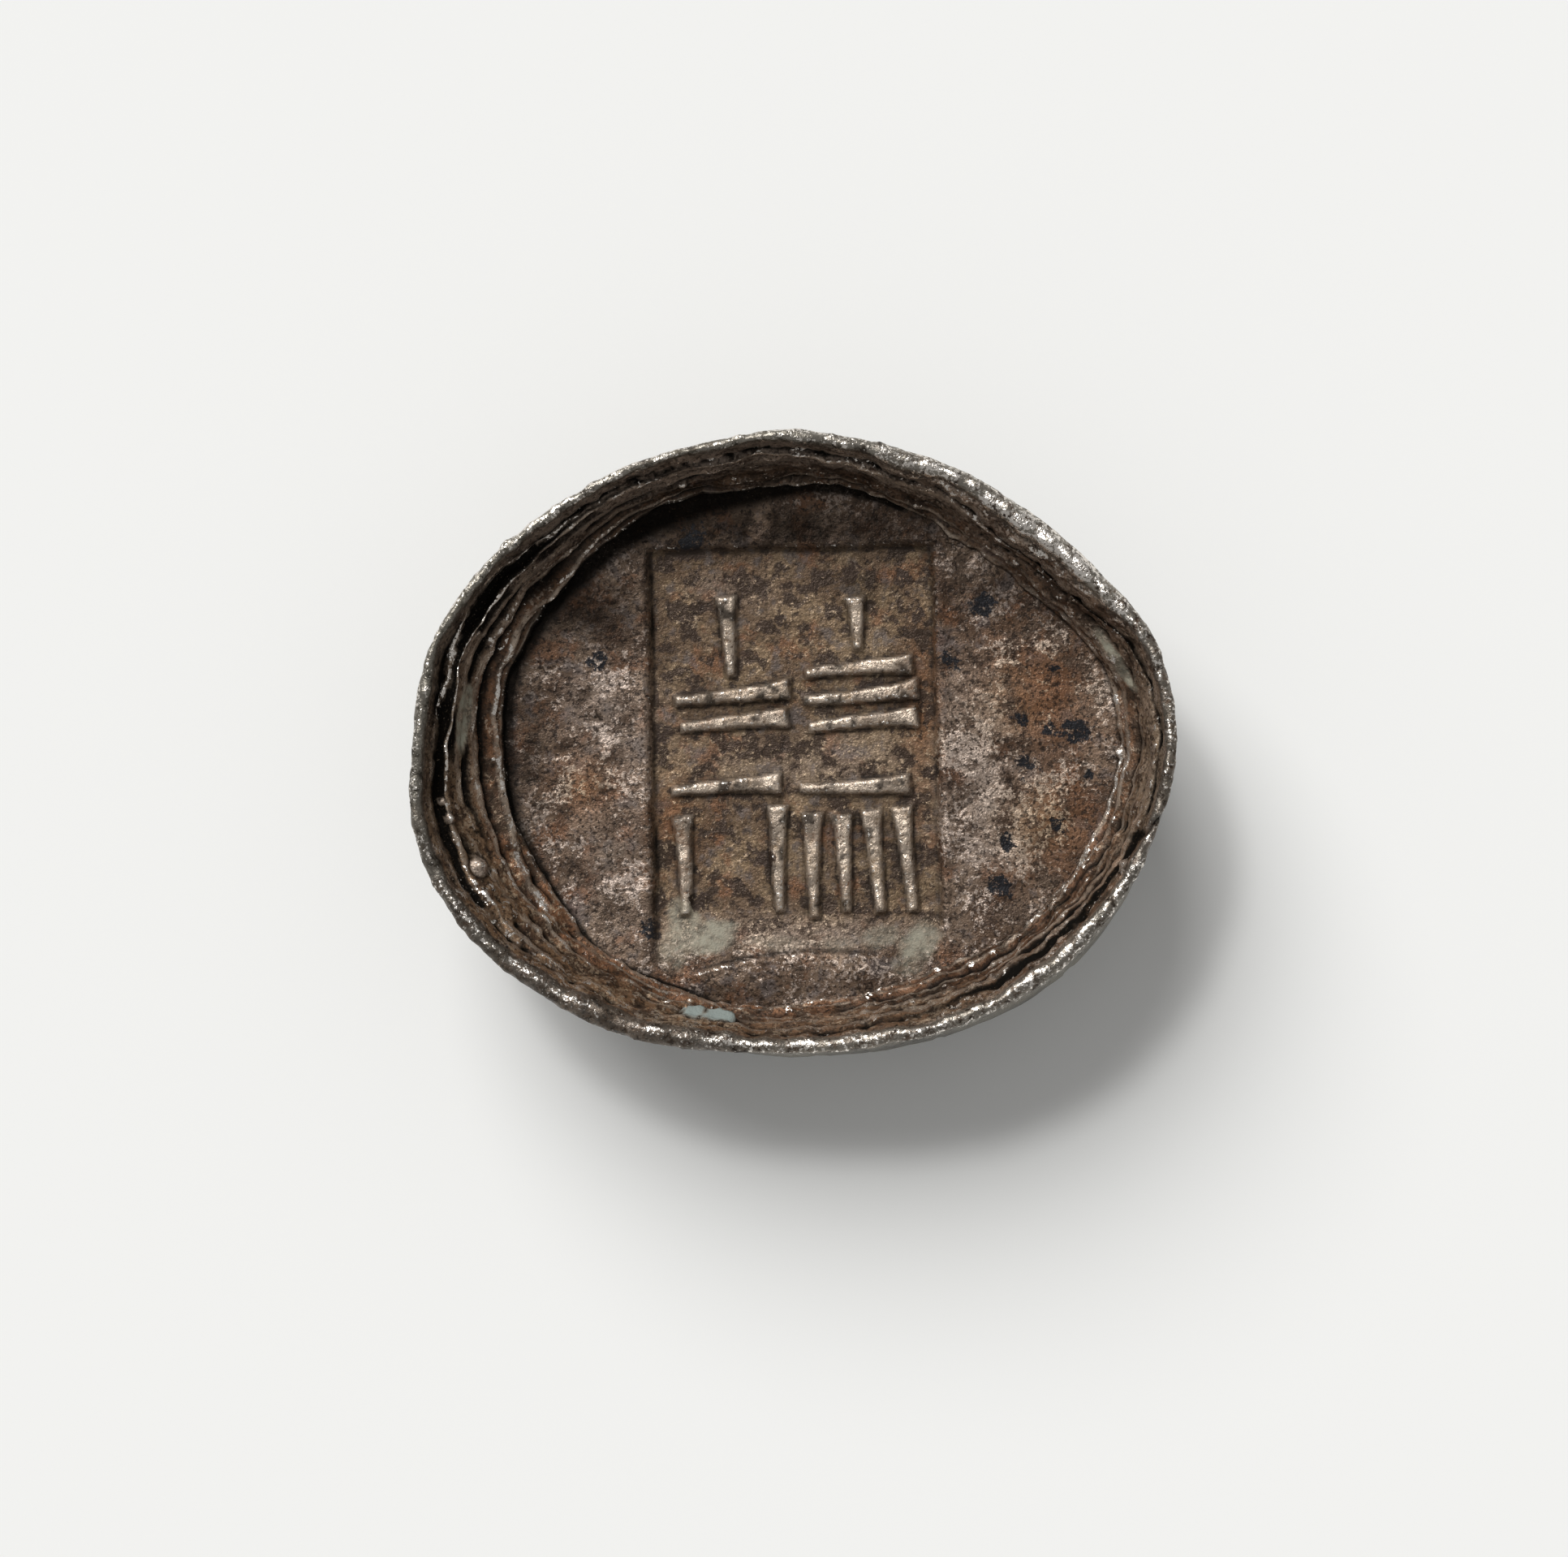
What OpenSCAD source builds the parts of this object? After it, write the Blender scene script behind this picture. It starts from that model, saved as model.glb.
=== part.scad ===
// Silver sycee: an oval ingot poured in one heat, with a hollow face, ripples down the
// inside of its wall and a panel struck into its floor. One solid casting, in millimetres.
// X runs along the ingot, Y across it and Z up from the flat that it rests on.

/* [Rim] */
// Length over the rim
rim_length = 50.3; // [44:0.1:60]
// Width over the rim
rim_width = 41; // [36:0.1:50]
// Height of the lip above the base, where it is highest
rim_height = 15.5; // [14:0.1:19]
// Thickness of the rounded lip, where it is thickest
lip_thickness = 1.5; // [1:0.1:2]
// Most that the lip dips below its highest point
lip_dip = 0.9; // [0:0.1:1.5]
// Most that the rim strays from a true oval
rim_stray = 0.95; // [0:0.05:1.5]

/* [Outer wall] */
// Length of the flat on the base
base_length = 30; // [20:0.5:38]
// Width of the flat on the base
base_width = 22.5; // [14:0.5:30]
// Most that the wall swells out, high on the near side
wall_swell = 0.95; // [0:0.05:2]

/* [Hollow] */
// Silver left under the floor of the hollow
floor_thickness = 8.5; // [6:0.1:11]
// Distance from the rim in to the floor, where the wall slopes most
wall_run = 5.8; // [5:0.1:8]

/* [Ripples] */
// Height of a ripple where it stands out most
ripple_height = 0.85; // [0:0.05:1.1]
// Depth of the groove inside the lip, where it is deepest
groove_depth = 1.1; // [0:0.05:1.5]

/* [Struck panel] */
// Length of the panel, across the ingot
panel_length = 27.6; // [23:0.1:30]
// Width of the panel, along the ingot
panel_width = 19.1; // [17:0.1:24]
// Depth of the panel below the floor
panel_depth = 0.4; // [0.2:0.05:0.8]
// Centre of the panel along the ingot
panel_x = 0; // [-3:0.1:3]
// Centre of the panel across the ingot
panel_y = -0.4; // [-3:0.1:3]
// Turn of the panel, in degrees
panel_turn = 1.2; // [-5:0.1:5]

/* [Raised numerals] */
// Distance between the two columns of numerals
column_pitch = 8.6; // [7:0.1:10]
// Distance between the two rows of numerals
row_pitch = 12.2; // [10:0.1:14]
// Width of a numeral
numeral_width = 7.4; // [6:0.1:8]
// Height of a numeral
numeral_height = 9; // [7:0.1:11]
// Height of the rods above the panel
rod_height = 0.5; // [0.2:0.05:1]
// Width of a rod at its head
rod_head = 1.1; // [0.6:0.05:1.4]
// Width of a rod at its tail
rod_tail = 0.6; // [0.3:0.05:1]
// Distance between level rods
rod_pitch = 1.8; // [1.4:0.05:2]
// Tilt of the numerals, in degrees
numeral_tilt = 4; // [0:1:10]

/* [Hidden] */

silver_grey = [0.42, 0.36, 0.31];
// Depth of a rod's root in the silver under it
rod_root = rod_height;

// Shares in even steps round the rim, 12 or 24 of them, starting at the right end
lip_share = [0.5, 0.95, 0.9, 0.5, 0.45, 0.45, 0.55, 0.8, 1, 0.75, 0.65, 0.65];
dip_share = [0.2, 0.5, 0.8, 0.3, 0.6, 0.4, 0, 0.5, 0.7, 1, 0.6, 0.4];
stray_share = [
    -0.1, 0, -0.7, -0.75, -0.35, -0.2, 0.1, -0.15, -0.2, -0.35, -0.25, -0.1,
    -0.25, 0.7, 1, 0.75, 0.6, 0, -0.3, -0.3, -0.1, 0.05, -0.2, -0.4];
swell_share = [
    0, 0, 0, 0, 0, 0, 0, 0, 0, 0, 0, 0,
    0, 0, 0, 0, 0, 0.1, 0.75, 0.9, 1, 1, 0.85, 0.4];
run_share = [
    0.55, 0.57, 0.64, 0.63, 0.57, 0.43, 0.45, 0.45, 0.43, 0.53, 0.71, 0.81,
    0.9, 1, 0.95, 0.69, 0.65, 0.49, 0.48, 0.56, 0.64, 0.62, 0.59, 0.54];
groove_share = [0.45, 0.65, 0.35, 0.45, 0.45, 0.9, 1, 0.45, 0.15, 0.15, 0.2, 0.3];

// Each ripple from the lip down: where its lower crease lies, from 0 at the lip to 1 at the
// floor, and the share of ripple_height that it stands out
ripples = [
    // Under the lip
    [[0.06, 0.26, 0.14, 0.1, 0.1, 0.1, 0.11, 0.12, 0.1, 0.08, 0.1, 0.1],
     [0.05, 0.35, 0.25, 0.05, 0.05, 0.05, 0.05, 0.1, 0.1, 0.1, 0.1, 0.1]],
    // Ledge
    [[0.28, 0.32, 0.36, 0.26, 0.25, 0.24, 0.24, 0.28, 0.28, 0.24, 0.36, 0.32],
     [0.1, 0.1, 0.4, 0.4, 0.45, 0.6, 0.65, 0.4, 0.3, 0.35, 0.45, 0.45]],
    // Upper sheet
    [[0.44, 0.37, 0.5, 0.5, 0.48, 0.44, 0.44, 0.46, 0.46, 0.46, 0.52, 0.46],
     [0.1, 0.1, 0.1, 0.15, 0.3, 0.55, 0.45, 0.55, 0.35, 0.35, 0.4, 0.35]],
    // Lower sheet
    [[0.58, 0.42, 0.62, 0.68, 0.66, 0.62, 0.65, 0.64, 0.62, 0.66, 0.68, 0.6],
     [0.15, 0.1, 0.1, 0.15, 0.35, 0.6, 0.55, 0.6, 0.45, 0.35, 0.35, 0.4]],
    // Thick fold
    [[0.8, 0.66, 0.8, 0.84, 0.82, 0.82, 0.86, 0.86, 0.82, 0.84, 0.84, 0.78],
     [0.6, 0.6, 0.35, 0.2, 0.45, 0.95, 1, 0.75, 0.6, 0.55, 0.6, 0.7]],
    // Fold over the floor
    [[1, 1, 1, 1, 1, 1, 1, 1, 1, 1, 1, 1],
     [0.4, 0.25, 0.35, 0.45, 0.4, 0.5, 0.5, 0.6, 0.6, 0.45, 0.45, 0.55]]];

sides = 96;
outer_rings = 10;
lip_arc = [45, 90, 135, 180];
// Rings on each ripple, as shares of the way from its upper crease to its lower one
ripple_rings = [0.08, 0.25, 0.6, 0.85, 0.95, 1];
// Power that shifts the crest of a ripple down towards its lower crease
crest_shift = 1.35;
// Lean of the ripples over the floor, as a share of the wall's slope
ripple_lean = 0.65;
// Share of the height of its neighbours that a crease is filled to
crease_fill = 0.25;
// Width of the groove inside the lip, as a share of the wall
groove_width = 0.06;
// Share of its depth by which the inner wall sags below a straight slope
wall_sag = 0.15;
// Power that lifts the swelling of the outer wall towards the lip
swell_lift = 2;

// Value at angle t on a smooth curve through values spread evenly round the rim
function round_rim(values, t) =
    let (count = len(values),
         place = t / 360 * count,
         i = floor(place),
         f = place - i,
         before = values[(i + count - 1) % count],
         from = values[i % count],
         to = values[(i + 1) % count],
         after = values[(i + 2) % count])
    from + f * (to - before + f * (2 * before - 5 * from + 4 * to - after
        + f * (3 * from - before - 3 * to + after))) / 2;

// Distance from the centre to the edge of an oval at angle t
function oval(length, width, t) =
    length * width / 2 / sqrt(pow(width * cos(t), 2) + pow(length * sin(t), 2));

function rim(t) = oval(rim_length, rim_width, t) + rim_stray * round_rim(stray_share, t);
function lip_radius(t) = lip_thickness / 2 * round_rim(lip_share, t);
function lip_z(t) = rim_height - lip_dip * round_rim(dip_share, t);
function swell(t) = wall_swell * max(0, round_rim(swell_share, t));
function inner_run(t) = wall_run * round_rim(run_share, t) - 2 * lip_radius(t);

// Each function that gives a place on the section at angle t gives [distance from the centre, height]
function lip(arc, t) =
    let (radius = lip_radius(t))
    [rim(t) - radius + radius * cos(arc), lip_z(t) - radius + radius * sin(arc)];

function outer_wall(s, t) =
    let (foot = oval(base_length, base_width, t),
         top = lip(0, t),
         hump = sin(180 * pow(s, swell_lift)))
    [foot + (top[0] - foot) * sin(90 * s) + swell(t) * hump, top[1] * (1 - cos(90 * s))];

// Place and filling of the crease below ripple k, and height of the ripple
function crease(k, t) = k < 0 ? 0 : round_rim(ripples[k][0], t);
function stand_out(k, t) = ripple_height * round_rim(ripples[k][1], t);
function filling(k, t) = k < 0 || k == len(ripples) - 1 ? 0
    : crease_fill * (stand_out(k, t) + stand_out(k + 1, t)) / 2;

// Height above the plain wall at share f of the way down ripple k
function ripple(k, f, t) =
    let (bulge = sqrt(max(0, 1 - pow(2 * pow(f, crest_shift) - 1, 2))))
    bulge * stand_out(k, t) + (1 - bulge) * filling(f < 0.5 ? k - 1 : k, t);

function groove(u, t) =
    groove_depth * round_rim(groove_share, t) * exp(-pow((u - crease(0, t)) / groove_width, 2));

function inner_wall(k, f, t) =
    let (u = crease(k - 1, t) + f * (crease(k, t) - crease(k - 1, t)),
         top = lip(180, t),
         run = inner_run(t),
         drop = top[1] - floor_thickness,
         out = ripple(k, f, t) / norm([drop, run]),
         over = out * ripple_lean * run / drop)
    [top[0] - run * u - drop * out - run * over,
     top[1] - drop * (u + wall_sag * sin(180 * u)) - groove(u, t) + run * out - drop * over];

function section(t) = concat(
    [for (i = [0 : outer_rings]) outer_wall(i / outer_rings, t)],
    [for (arc = lip_arc) lip(arc, t)],
    [for (k = [0 : len(ripples) - 1], f = ripple_rings) inner_wall(k, f, t)]);

// The poured ingot before it is struck: sections set round the centre, closed by two flats
module poured_ingot() {
    sections = [for (i = [0 : sides - 1]) section(360 * i / sides)];
    rings = len(sections[0]);
    wall_points = [for (k = [0 : rings - 1], i = [0 : sides - 1])
        let (t = 360 * i / sides, p = sections[i][k])
        [p[0] * cos(t), p[0] * sin(t), p[1]]];
    base_centre = rings * sides;
    floor_centre = base_centre + 1;
    top_ring = (rings - 1) * sides;
    base_faces = [for (i = [0 : sides - 1])
        [base_centre, i, (i + 1) % sides]];
    floor_faces = [for (i = [0 : sides - 1])
        [floor_centre, top_ring + (i + 1) % sides, top_ring + i]];
    wall_faces = [for (k = [0 : rings - 2], i = [0 : sides - 1], upper = [false, true])
        let (a = k * sides + i,
             b = k * sides + (i + 1) % sides)
        upper ? [a, b + sides, b] : [a, a + sides, b + sides]];
    polyhedron(
        points = concat(wall_points, [[0, 0, 0], [0, 0, floor_thickness]]),
        faces = concat(base_faces, floor_faces, wall_faces));
}

// Clear space over the panel that the punch struck
module punch() {
    translate([panel_x, panel_y, floor_thickness - panel_depth])
        rotate(panel_turn)
            linear_extrude(rim_height)
                square([panel_width, panel_length], center = true);
}

// Wedge lying along X, with its head to the right
module rod(length) {
    polygon([
        [-length / 2, -rod_tail / 2],
        [length / 2, -rod_head / 2],
        [length / 2, rod_head / 2],
        [-length / 2, rod_tail / 2]]);
}

// One long rod across the top, with upright rods under it
module rod_over_uprights(count) {
    upright_length = numeral_height - 2 * rod_head;
    pitch = (numeral_width - rod_head) / (count - 1);
    translate([0, (numeral_height - rod_head) / 2])
        rod(numeral_width);
    for (i = [0 : count - 1])
        translate([pitch * i - (numeral_width - rod_head) / 2, -rod_head])
            rotate(90)
                rod(upright_length);
}

// One upright rod, with level rods under it
module upright_over_rods(count) {
    upright_length = numeral_height - count * rod_pitch;
    translate([0, (numeral_height - upright_length) / 2])
        rotate(90)
            rod(upright_length);
    for (i = [0 : count - 1])
        translate([0, rod_pitch * i - (numeral_height - rod_head) / 2])
            rod(numeral_width);
}

// Counting-rod numerals in two rows of two
module numerals() {
    translate([panel_x, panel_y, floor_thickness - panel_depth - rod_root])
        linear_extrude(rod_root + rod_height) {
            for (column = [0, 1]) {
                across = (column - 0.5) * column_pitch;
                translate([across, row_pitch / 2])
                    rotate(numeral_tilt)
                        upright_over_rods(2 + column);
                translate([across, -row_pitch / 2])
                    rotate(numeral_tilt)
                        rod_over_uprights(2 + 2 * column);
            }
        }
}

module ingot_casting() {
    color(silver_grey) {
        difference() {
            poured_ingot();
            punch();
        }
        numerals();
    }
}

ingot_casting();
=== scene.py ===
import itertools
import math
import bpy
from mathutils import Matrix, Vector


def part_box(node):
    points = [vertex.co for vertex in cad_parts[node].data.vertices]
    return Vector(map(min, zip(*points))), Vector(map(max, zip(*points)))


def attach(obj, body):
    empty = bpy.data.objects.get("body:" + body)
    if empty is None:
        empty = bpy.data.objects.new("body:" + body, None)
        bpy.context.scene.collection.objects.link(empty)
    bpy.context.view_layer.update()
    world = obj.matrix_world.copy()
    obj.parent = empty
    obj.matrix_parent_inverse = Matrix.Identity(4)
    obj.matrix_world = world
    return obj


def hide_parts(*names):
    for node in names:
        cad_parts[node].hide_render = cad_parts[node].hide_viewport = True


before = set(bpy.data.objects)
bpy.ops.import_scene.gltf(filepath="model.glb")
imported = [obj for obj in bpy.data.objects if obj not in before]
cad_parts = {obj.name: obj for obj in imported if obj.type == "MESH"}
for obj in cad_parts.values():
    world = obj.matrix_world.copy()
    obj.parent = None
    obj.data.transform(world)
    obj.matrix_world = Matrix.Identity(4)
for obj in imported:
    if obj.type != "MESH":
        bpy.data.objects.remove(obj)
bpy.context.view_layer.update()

from types import SimpleNamespace

import bmesh
import bpy
import numpy as np
from mathutils import Matrix, Vector

mm = 0.001
castingNode = "ingot_casting"

# shape code works in millimetres, with the same origin as the frame
nodeLow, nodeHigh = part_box(castingNode)
rimHeight = nodeHigh.z / mm

# twelve or 24 values go round the rim in even steps, counter-clockwise from the right end
casting = {
    "lipThickness": 1.5,
    "lipShare": [0.5, 0.95, 0.9, 0.5, 0.45, 0.45, 0.55, 0.8, 1, 0.75, 0.65, 0.65],
    "lipUneven": 0.2,
    "lipDip": 0.9,
    "topWobble": 0.12,
    "topDrop": 0.1,
    "rimStray": 0.95,
    "rimWobble": 0.06,
    "baseLength": 30.0,
    "baseWidth": 22.5,
    "wallSwell": 0.95,
    "swellLift": 2.0,
    "floorThickness": 8.5,
    "floorWave": 0.07,
    "wallRun": 5.8,
    "toeWobble": 0.15,
    "wallSag": 0.15,
    "strayShare": [
        -0.1, 0, -0.7, -0.75, -0.35, -0.2, 0.1, -0.15, -0.2, -0.35, -0.25, -0.1,
        -0.25, 0.7, 1, 0.75, 0.6, 0, -0.3, -0.3, -0.1, 0.05, -0.2, -0.4],
    "dipShare": [0.2, 0.5, 0.8, 0.3, 0.6, 0.4, 0, 0.5, 0.7, 1, 0.6, 0.4],
    "swellShare": [
        0, 0, 0, 0, 0, 0, 0, 0, 0, 0, 0, 0,
        0, 0, 0, 0, 0, 0.1, 0.75, 0.9, 1, 1, 0.85, 0.4],
    "runShare": [
        0.55, 0.57, 0.64, 0.63, 0.57, 0.43, 0.45, 0.45, 0.43, 0.53, 0.71, 0.81,
        0.9, 1, 0.95, 0.69, 0.65, 0.49, 0.48, 0.56, 0.64, 0.62, 0.59, 0.54],
    "flowLines": [0.06, 0.08, 0.1, 0.14, 0.14, 0.14, 0.12, 0.08, 0.06, 0.06, 0.06, 0.06],
    "lumps": [0.2, 0.2, 0.14, 0.1, 0.1, 0.1, 0.1, 0.2, 0.14, 0.12, 0.18, 0.2],
}

# the true oval, without the rim's stray at the right end and at the far side
rimLength = 2 * (nodeHigh.x / mm - casting["rimStray"] * casting["strayShare"][0])
rimWidth = 2 * (nodeHigh.y / mm - casting["rimStray"] * casting["strayShare"][6])

# faces across the struck block, then rows of faces from the block out, over the lip and under
meshRows = {
    "across": 128,
    "along": 164,
    "floor": 29,
    "innerWall": 66,
    "lip": 9,
    "outerWall": 16,
    "base": 7,
}

# the flat block in the middle of the floor that holds the panel and its numerals
block = {"x": -0.05, "y": 0.65, "width": 20.0, "length": 26.5}

# folds down the inner wall: "end" is the crease below each, from 0 at the lip to 1 at the floor,
# "share" its height as a share of the tallest, "gap" the share of its upper side painted dark as
# shade
folds = [
    {
        # under the lip
        "end": [0.06, 0.26, 0.14, 0.1, 0.1, 0.1, 0.11, 0.12, 0.1, 0.08, 0.1, 0.1],
        "share": [0.05, 0.35, 0.25, 0.05, 0.05, 0.05, 0.05, 0.1, 0.1, 0.1, 0.1, 0.1],
        "gap": 0.0,
    },
    {
        # ledge
        "end": [0.28, 0.32, 0.36, 0.26, 0.25, 0.24, 0.24, 0.28, 0.28, 0.24, 0.36, 0.32],
        "share": [0.1, 0.1, 0.4, 0.4, 0.45, 0.6, 0.65, 0.4, 0.3, 0.35, 0.45, 0.45],
        "gap": 1.0,
    },
    {
        # upper sheet
        "end": [0.44, 0.37, 0.5, 0.5, 0.48, 0.44, 0.44, 0.46, 0.46, 0.46, 0.52, 0.46],
        "share": [0.1, 0.1, 0.1, 0.15, 0.3, 0.55, 0.45, 0.55, 0.35, 0.35, 0.4, 0.35],
        "gap": 0.9,
    },
    {
        # lower sheet
        "end": [0.58, 0.42, 0.62, 0.68, 0.66, 0.62, 0.65, 0.64, 0.62, 0.66, 0.68, 0.6],
        "share": [0.15, 0.1, 0.1, 0.15, 0.35, 0.6, 0.55, 0.6, 0.45, 0.35, 0.35, 0.4],
        "gap": 0.5,
    },
    {
        # thick fold
        "end": [0.8, 0.66, 0.8, 0.84, 0.82, 0.82, 0.86, 0.86, 0.82, 0.84, 0.84, 0.78],
        "share": [0.6, 0.6, 0.35, 0.2, 0.45, 0.95, 1, 0.75, 0.6, 0.55, 0.6, 0.7],
        "gap": 0.3,
    },
    {
        # fold over the floor
        "end": [1, 1, 1, 1, 1, 1, 1, 1, 1, 1, 1, 1],
        "share": [0.4, 0.25, 0.35, 0.45, 0.4, 0.5, 0.5, 0.6, 0.6, 0.45, 0.45, 0.55],
        "gap": 0.4,
    },
]

# how the folds lie, and how often neighbours run together
foldLook = {
    "height": 0.85,
    "lean": 0.65,
    "crestShift": 1.35,
    "mergeLow": 0.0,
    "mergeHigh": 0.5,
    "valley": 0.8,
    "uneven": 0.45,
    "wander": 0.025,
    "warp": 0.03,
}

# groove sunk straight down inside the lip, in the crease under the first fold
groove = {
    "depth": 1.1,
    "share": [0.45, 0.65, 0.35, 0.45, 0.45, 0.9, 1, 0.45, 0.15, 0.15, 0.2, 0.3],
    "width": 0.06,
}

# thin ridge that wanders through the groove
thread = {
    "share": [0.2, 0.0, 0.0, 0.0, 0.3, 0.9, 0.75, 0.6, 0.2, 0.0, 0.2, 0.3],
    "width": 0.02,
    "wander": 0.06,
    "rise": 0.7,
}

# nick that slants across the lip below the right end
nick = {"angle": 349.0, "slant": 3.4, "depth": 0.34, "halfWidth": 0.4}

panel = {
    "x": 0.0,
    "y": -0.4,
    "width": 19.1,
    "length": 27.6,
    "turn": 1.2,
    "depth": 0.4,
    "edge": 0.22,
    "stray": 0.12,
    "burr": 0.07,
    "burrOff": 0.45,
    "burrWidth": 0.35,
}

numerals = {
    "columnPitch": 8.6,
    "rowPitch": 12.2,
    "width": 7.4,
    "height": 9.0,
    "rodHeight": 0.5,
    "rodHead": 1.1,
    "rodTail": 0.6,
    "rodPitch": 1.8,
    "tilt": 4.0,
    "edge": 0.12,
    "sway": 2.5,
    "lengthSway": 0.04,
    "bow": 0.12,
    "flare": 0.25,
    "ragged": 0.06,
    "uneven": 0.22,
}

# curved step across the low end of the panel, where the punch met the wall
step = {"x": -0.5, "crownX": 2.0, "y": -13.65, "bow": 0.018, "reach": 6.8, "rise": 0.25, "edge": 0.15}

# beads of splashed silver: angle round the rim, place on the wall, radius
beads = [
    {"angle": 201.0, "at": 0.32, "radius": 0.62},
    {"angle": 192.0, "at": 0.2, "radius": 0.3},
    {"angle": 189.0, "at": 0.16, "radius": 0.25},
    {"angle": 113.0, "at": 0.55, "radius": 0.3},
    {"angle": 359.0, "at": 0.95, "radius": 0.4},
    {"angle": 340.0, "at": 0.05, "radius": 0.4},
]

# tarnish on the floor by place and half size: lighter above 0, darker below; the darker patches near
# the far and left walls are painted shade as well as darker tarnish
tones = [
    {"x": -12.0, "y": 2.0, "halfX": 2.8, "halfY": 5.0, "tone": 0.42},
    {"x": -12.0, "y": -8.5, "halfX": 2.5, "halfY": 4.0, "tone": 0.3},
    {"x": -15.0, "y": 4.5, "halfX": 2.0, "halfY": 2.5, "tone": 0.3},
    {"x": 12.5, "y": 0.0, "halfX": 2.8, "halfY": 6.0, "tone": 0.75},
    {"x": 14.5, "y": -5.5, "halfX": 3.0, "halfY": 3.0, "tone": 0.5},
    {"x": 2.0, "y": -1.0, "halfX": 7.0, "halfY": 1.8, "tone": 0.35},
    {"x": 0.0, "y": -12.3, "halfX": 8.0, "halfY": 1.2, "tone": 0.45},
    {"x": -5.0, "y": 11.0, "halfX": 3.5, "halfY": 1.6, "tone": 0.3},
    {"x": -17.6, "y": 0.5, "halfX": 1.3, "halfY": 6.0, "tone": -0.6},
    {"x": -14.0, "y": 9.0, "halfX": 4.5, "halfY": 3.5, "tone": -0.9},
    {"x": 0.0, "y": 14.6, "halfX": 13.0, "halfY": 2.0, "tone": -1.0},
    {"x": 4.5, "y": 10.5, "halfX": 1.6, "halfY": 1.4, "tone": -0.6},
    {"x": 13.5, "y": 10.5, "halfX": 4.5, "halfY": 3.0, "tone": -0.5},
    {"x": -9.4, "y": -8.0, "halfX": 0.5, "halfY": 5.0, "tone": -0.6},
    {"x": 16.5, "y": -11.0, "halfX": 3.0, "halfY": 2.5, "tone": -0.35},
]

# small black spots of thick tarnish: x, y and radius
spots = [
    (3.7, 11.6, 0.85),
    (7.2, 11.4, 0.6),
    (-1.9, -7.4, 0.6),
    (9.1, -1.6, 0.5),
    (12.5, 9.6, 0.8),
    (10.3, 5.9, 0.8),
    (17.2, 5.3, 0.4),
    (15.2, 1.9, 0.7),
    (16.9, 1.3, 0.6),
    (18.9, 1.2, 1.0),
    (15.4, -1.1, 0.8),
    (19.6, -1.8, 0.45),
    (17.5, -5.0, 0.7),
    (14.1, -6.3, 0.5),
    (13.8, -9.1, 0.8),
    (-6.4, -10.3, 0.7),
    (-9.6, -12.2, 0.8),
    (-7.0, 13.8, 1.1),
    (-13.1, 5.9, 0.7),
    (-8.8, 1.0, 0.5),
    (-1.0, 8.6, 0.4),
    (8.2, 9.0, 0.5),
]

# pale residue: oval patches, turned in degrees, and how thick each lies
residue = [
    {"x": -5.8, "y": -12.8, "halfX": 2.2, "halfY": 1.1, "turn": 8.0, "share": 0.8},
    {"x": -7.4, "y": -11.7, "halfX": 1.1, "halfY": 1.7, "turn": 10.0, "share": 0.7},
    {"x": -8.1, "y": -13.6, "halfX": 1.2, "halfY": 1.8, "turn": 0.0, "share": 0.35},
    {"x": 8.3, "y": -13.1, "halfX": 1.5, "halfY": 2.2, "turn": -25.0, "share": 0.8},
    {"x": 5.5, "y": -12.6, "halfX": 2.2, "halfY": 0.9, "turn": 10.0, "share": 0.4},
    {"x": 1.0, "y": -13.0, "halfX": 6.0, "halfY": 0.6, "turn": 0.0, "share": 0.2},
    {"x": -21.8, "y": 1.8, "halfX": 0.36, "halfY": 2.4, "turn": -6.0, "share": 2.0},
    {"x": 21.2, "y": 6.0, "halfX": 0.35, "halfY": 2.6, "turn": 32.0, "share": 1.3},
]

# red-brown patches on the floor
warmths = [
    {"x": 16.0, "y": 3.5, "halfX": 4.0, "halfY": 4.0},
    {"x": 17.0, "y": -5.0, "halfX": 3.5, "halfY": 3.5},
    {"x": 8.6, "y": 2.0, "halfX": 1.2, "halfY": 5.0},
    {"x": -8.0, "y": -5.0, "halfX": 1.5, "halfY": 3.0},
    {"x": -14.0, "y": -2.5, "halfX": 2.0, "halfY": 2.0},
]

# one crisp pale chip on the near wall, leaning over the floor, with a crack across it
chip = {
    "angle": 252.4,
    "at": 0.3,
    "halfLength": 1.7,
    "halfHeight": 0.55,
    "push": 0.4,
    "lean": 0.25,
    "crack": -0.2,
}
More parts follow.
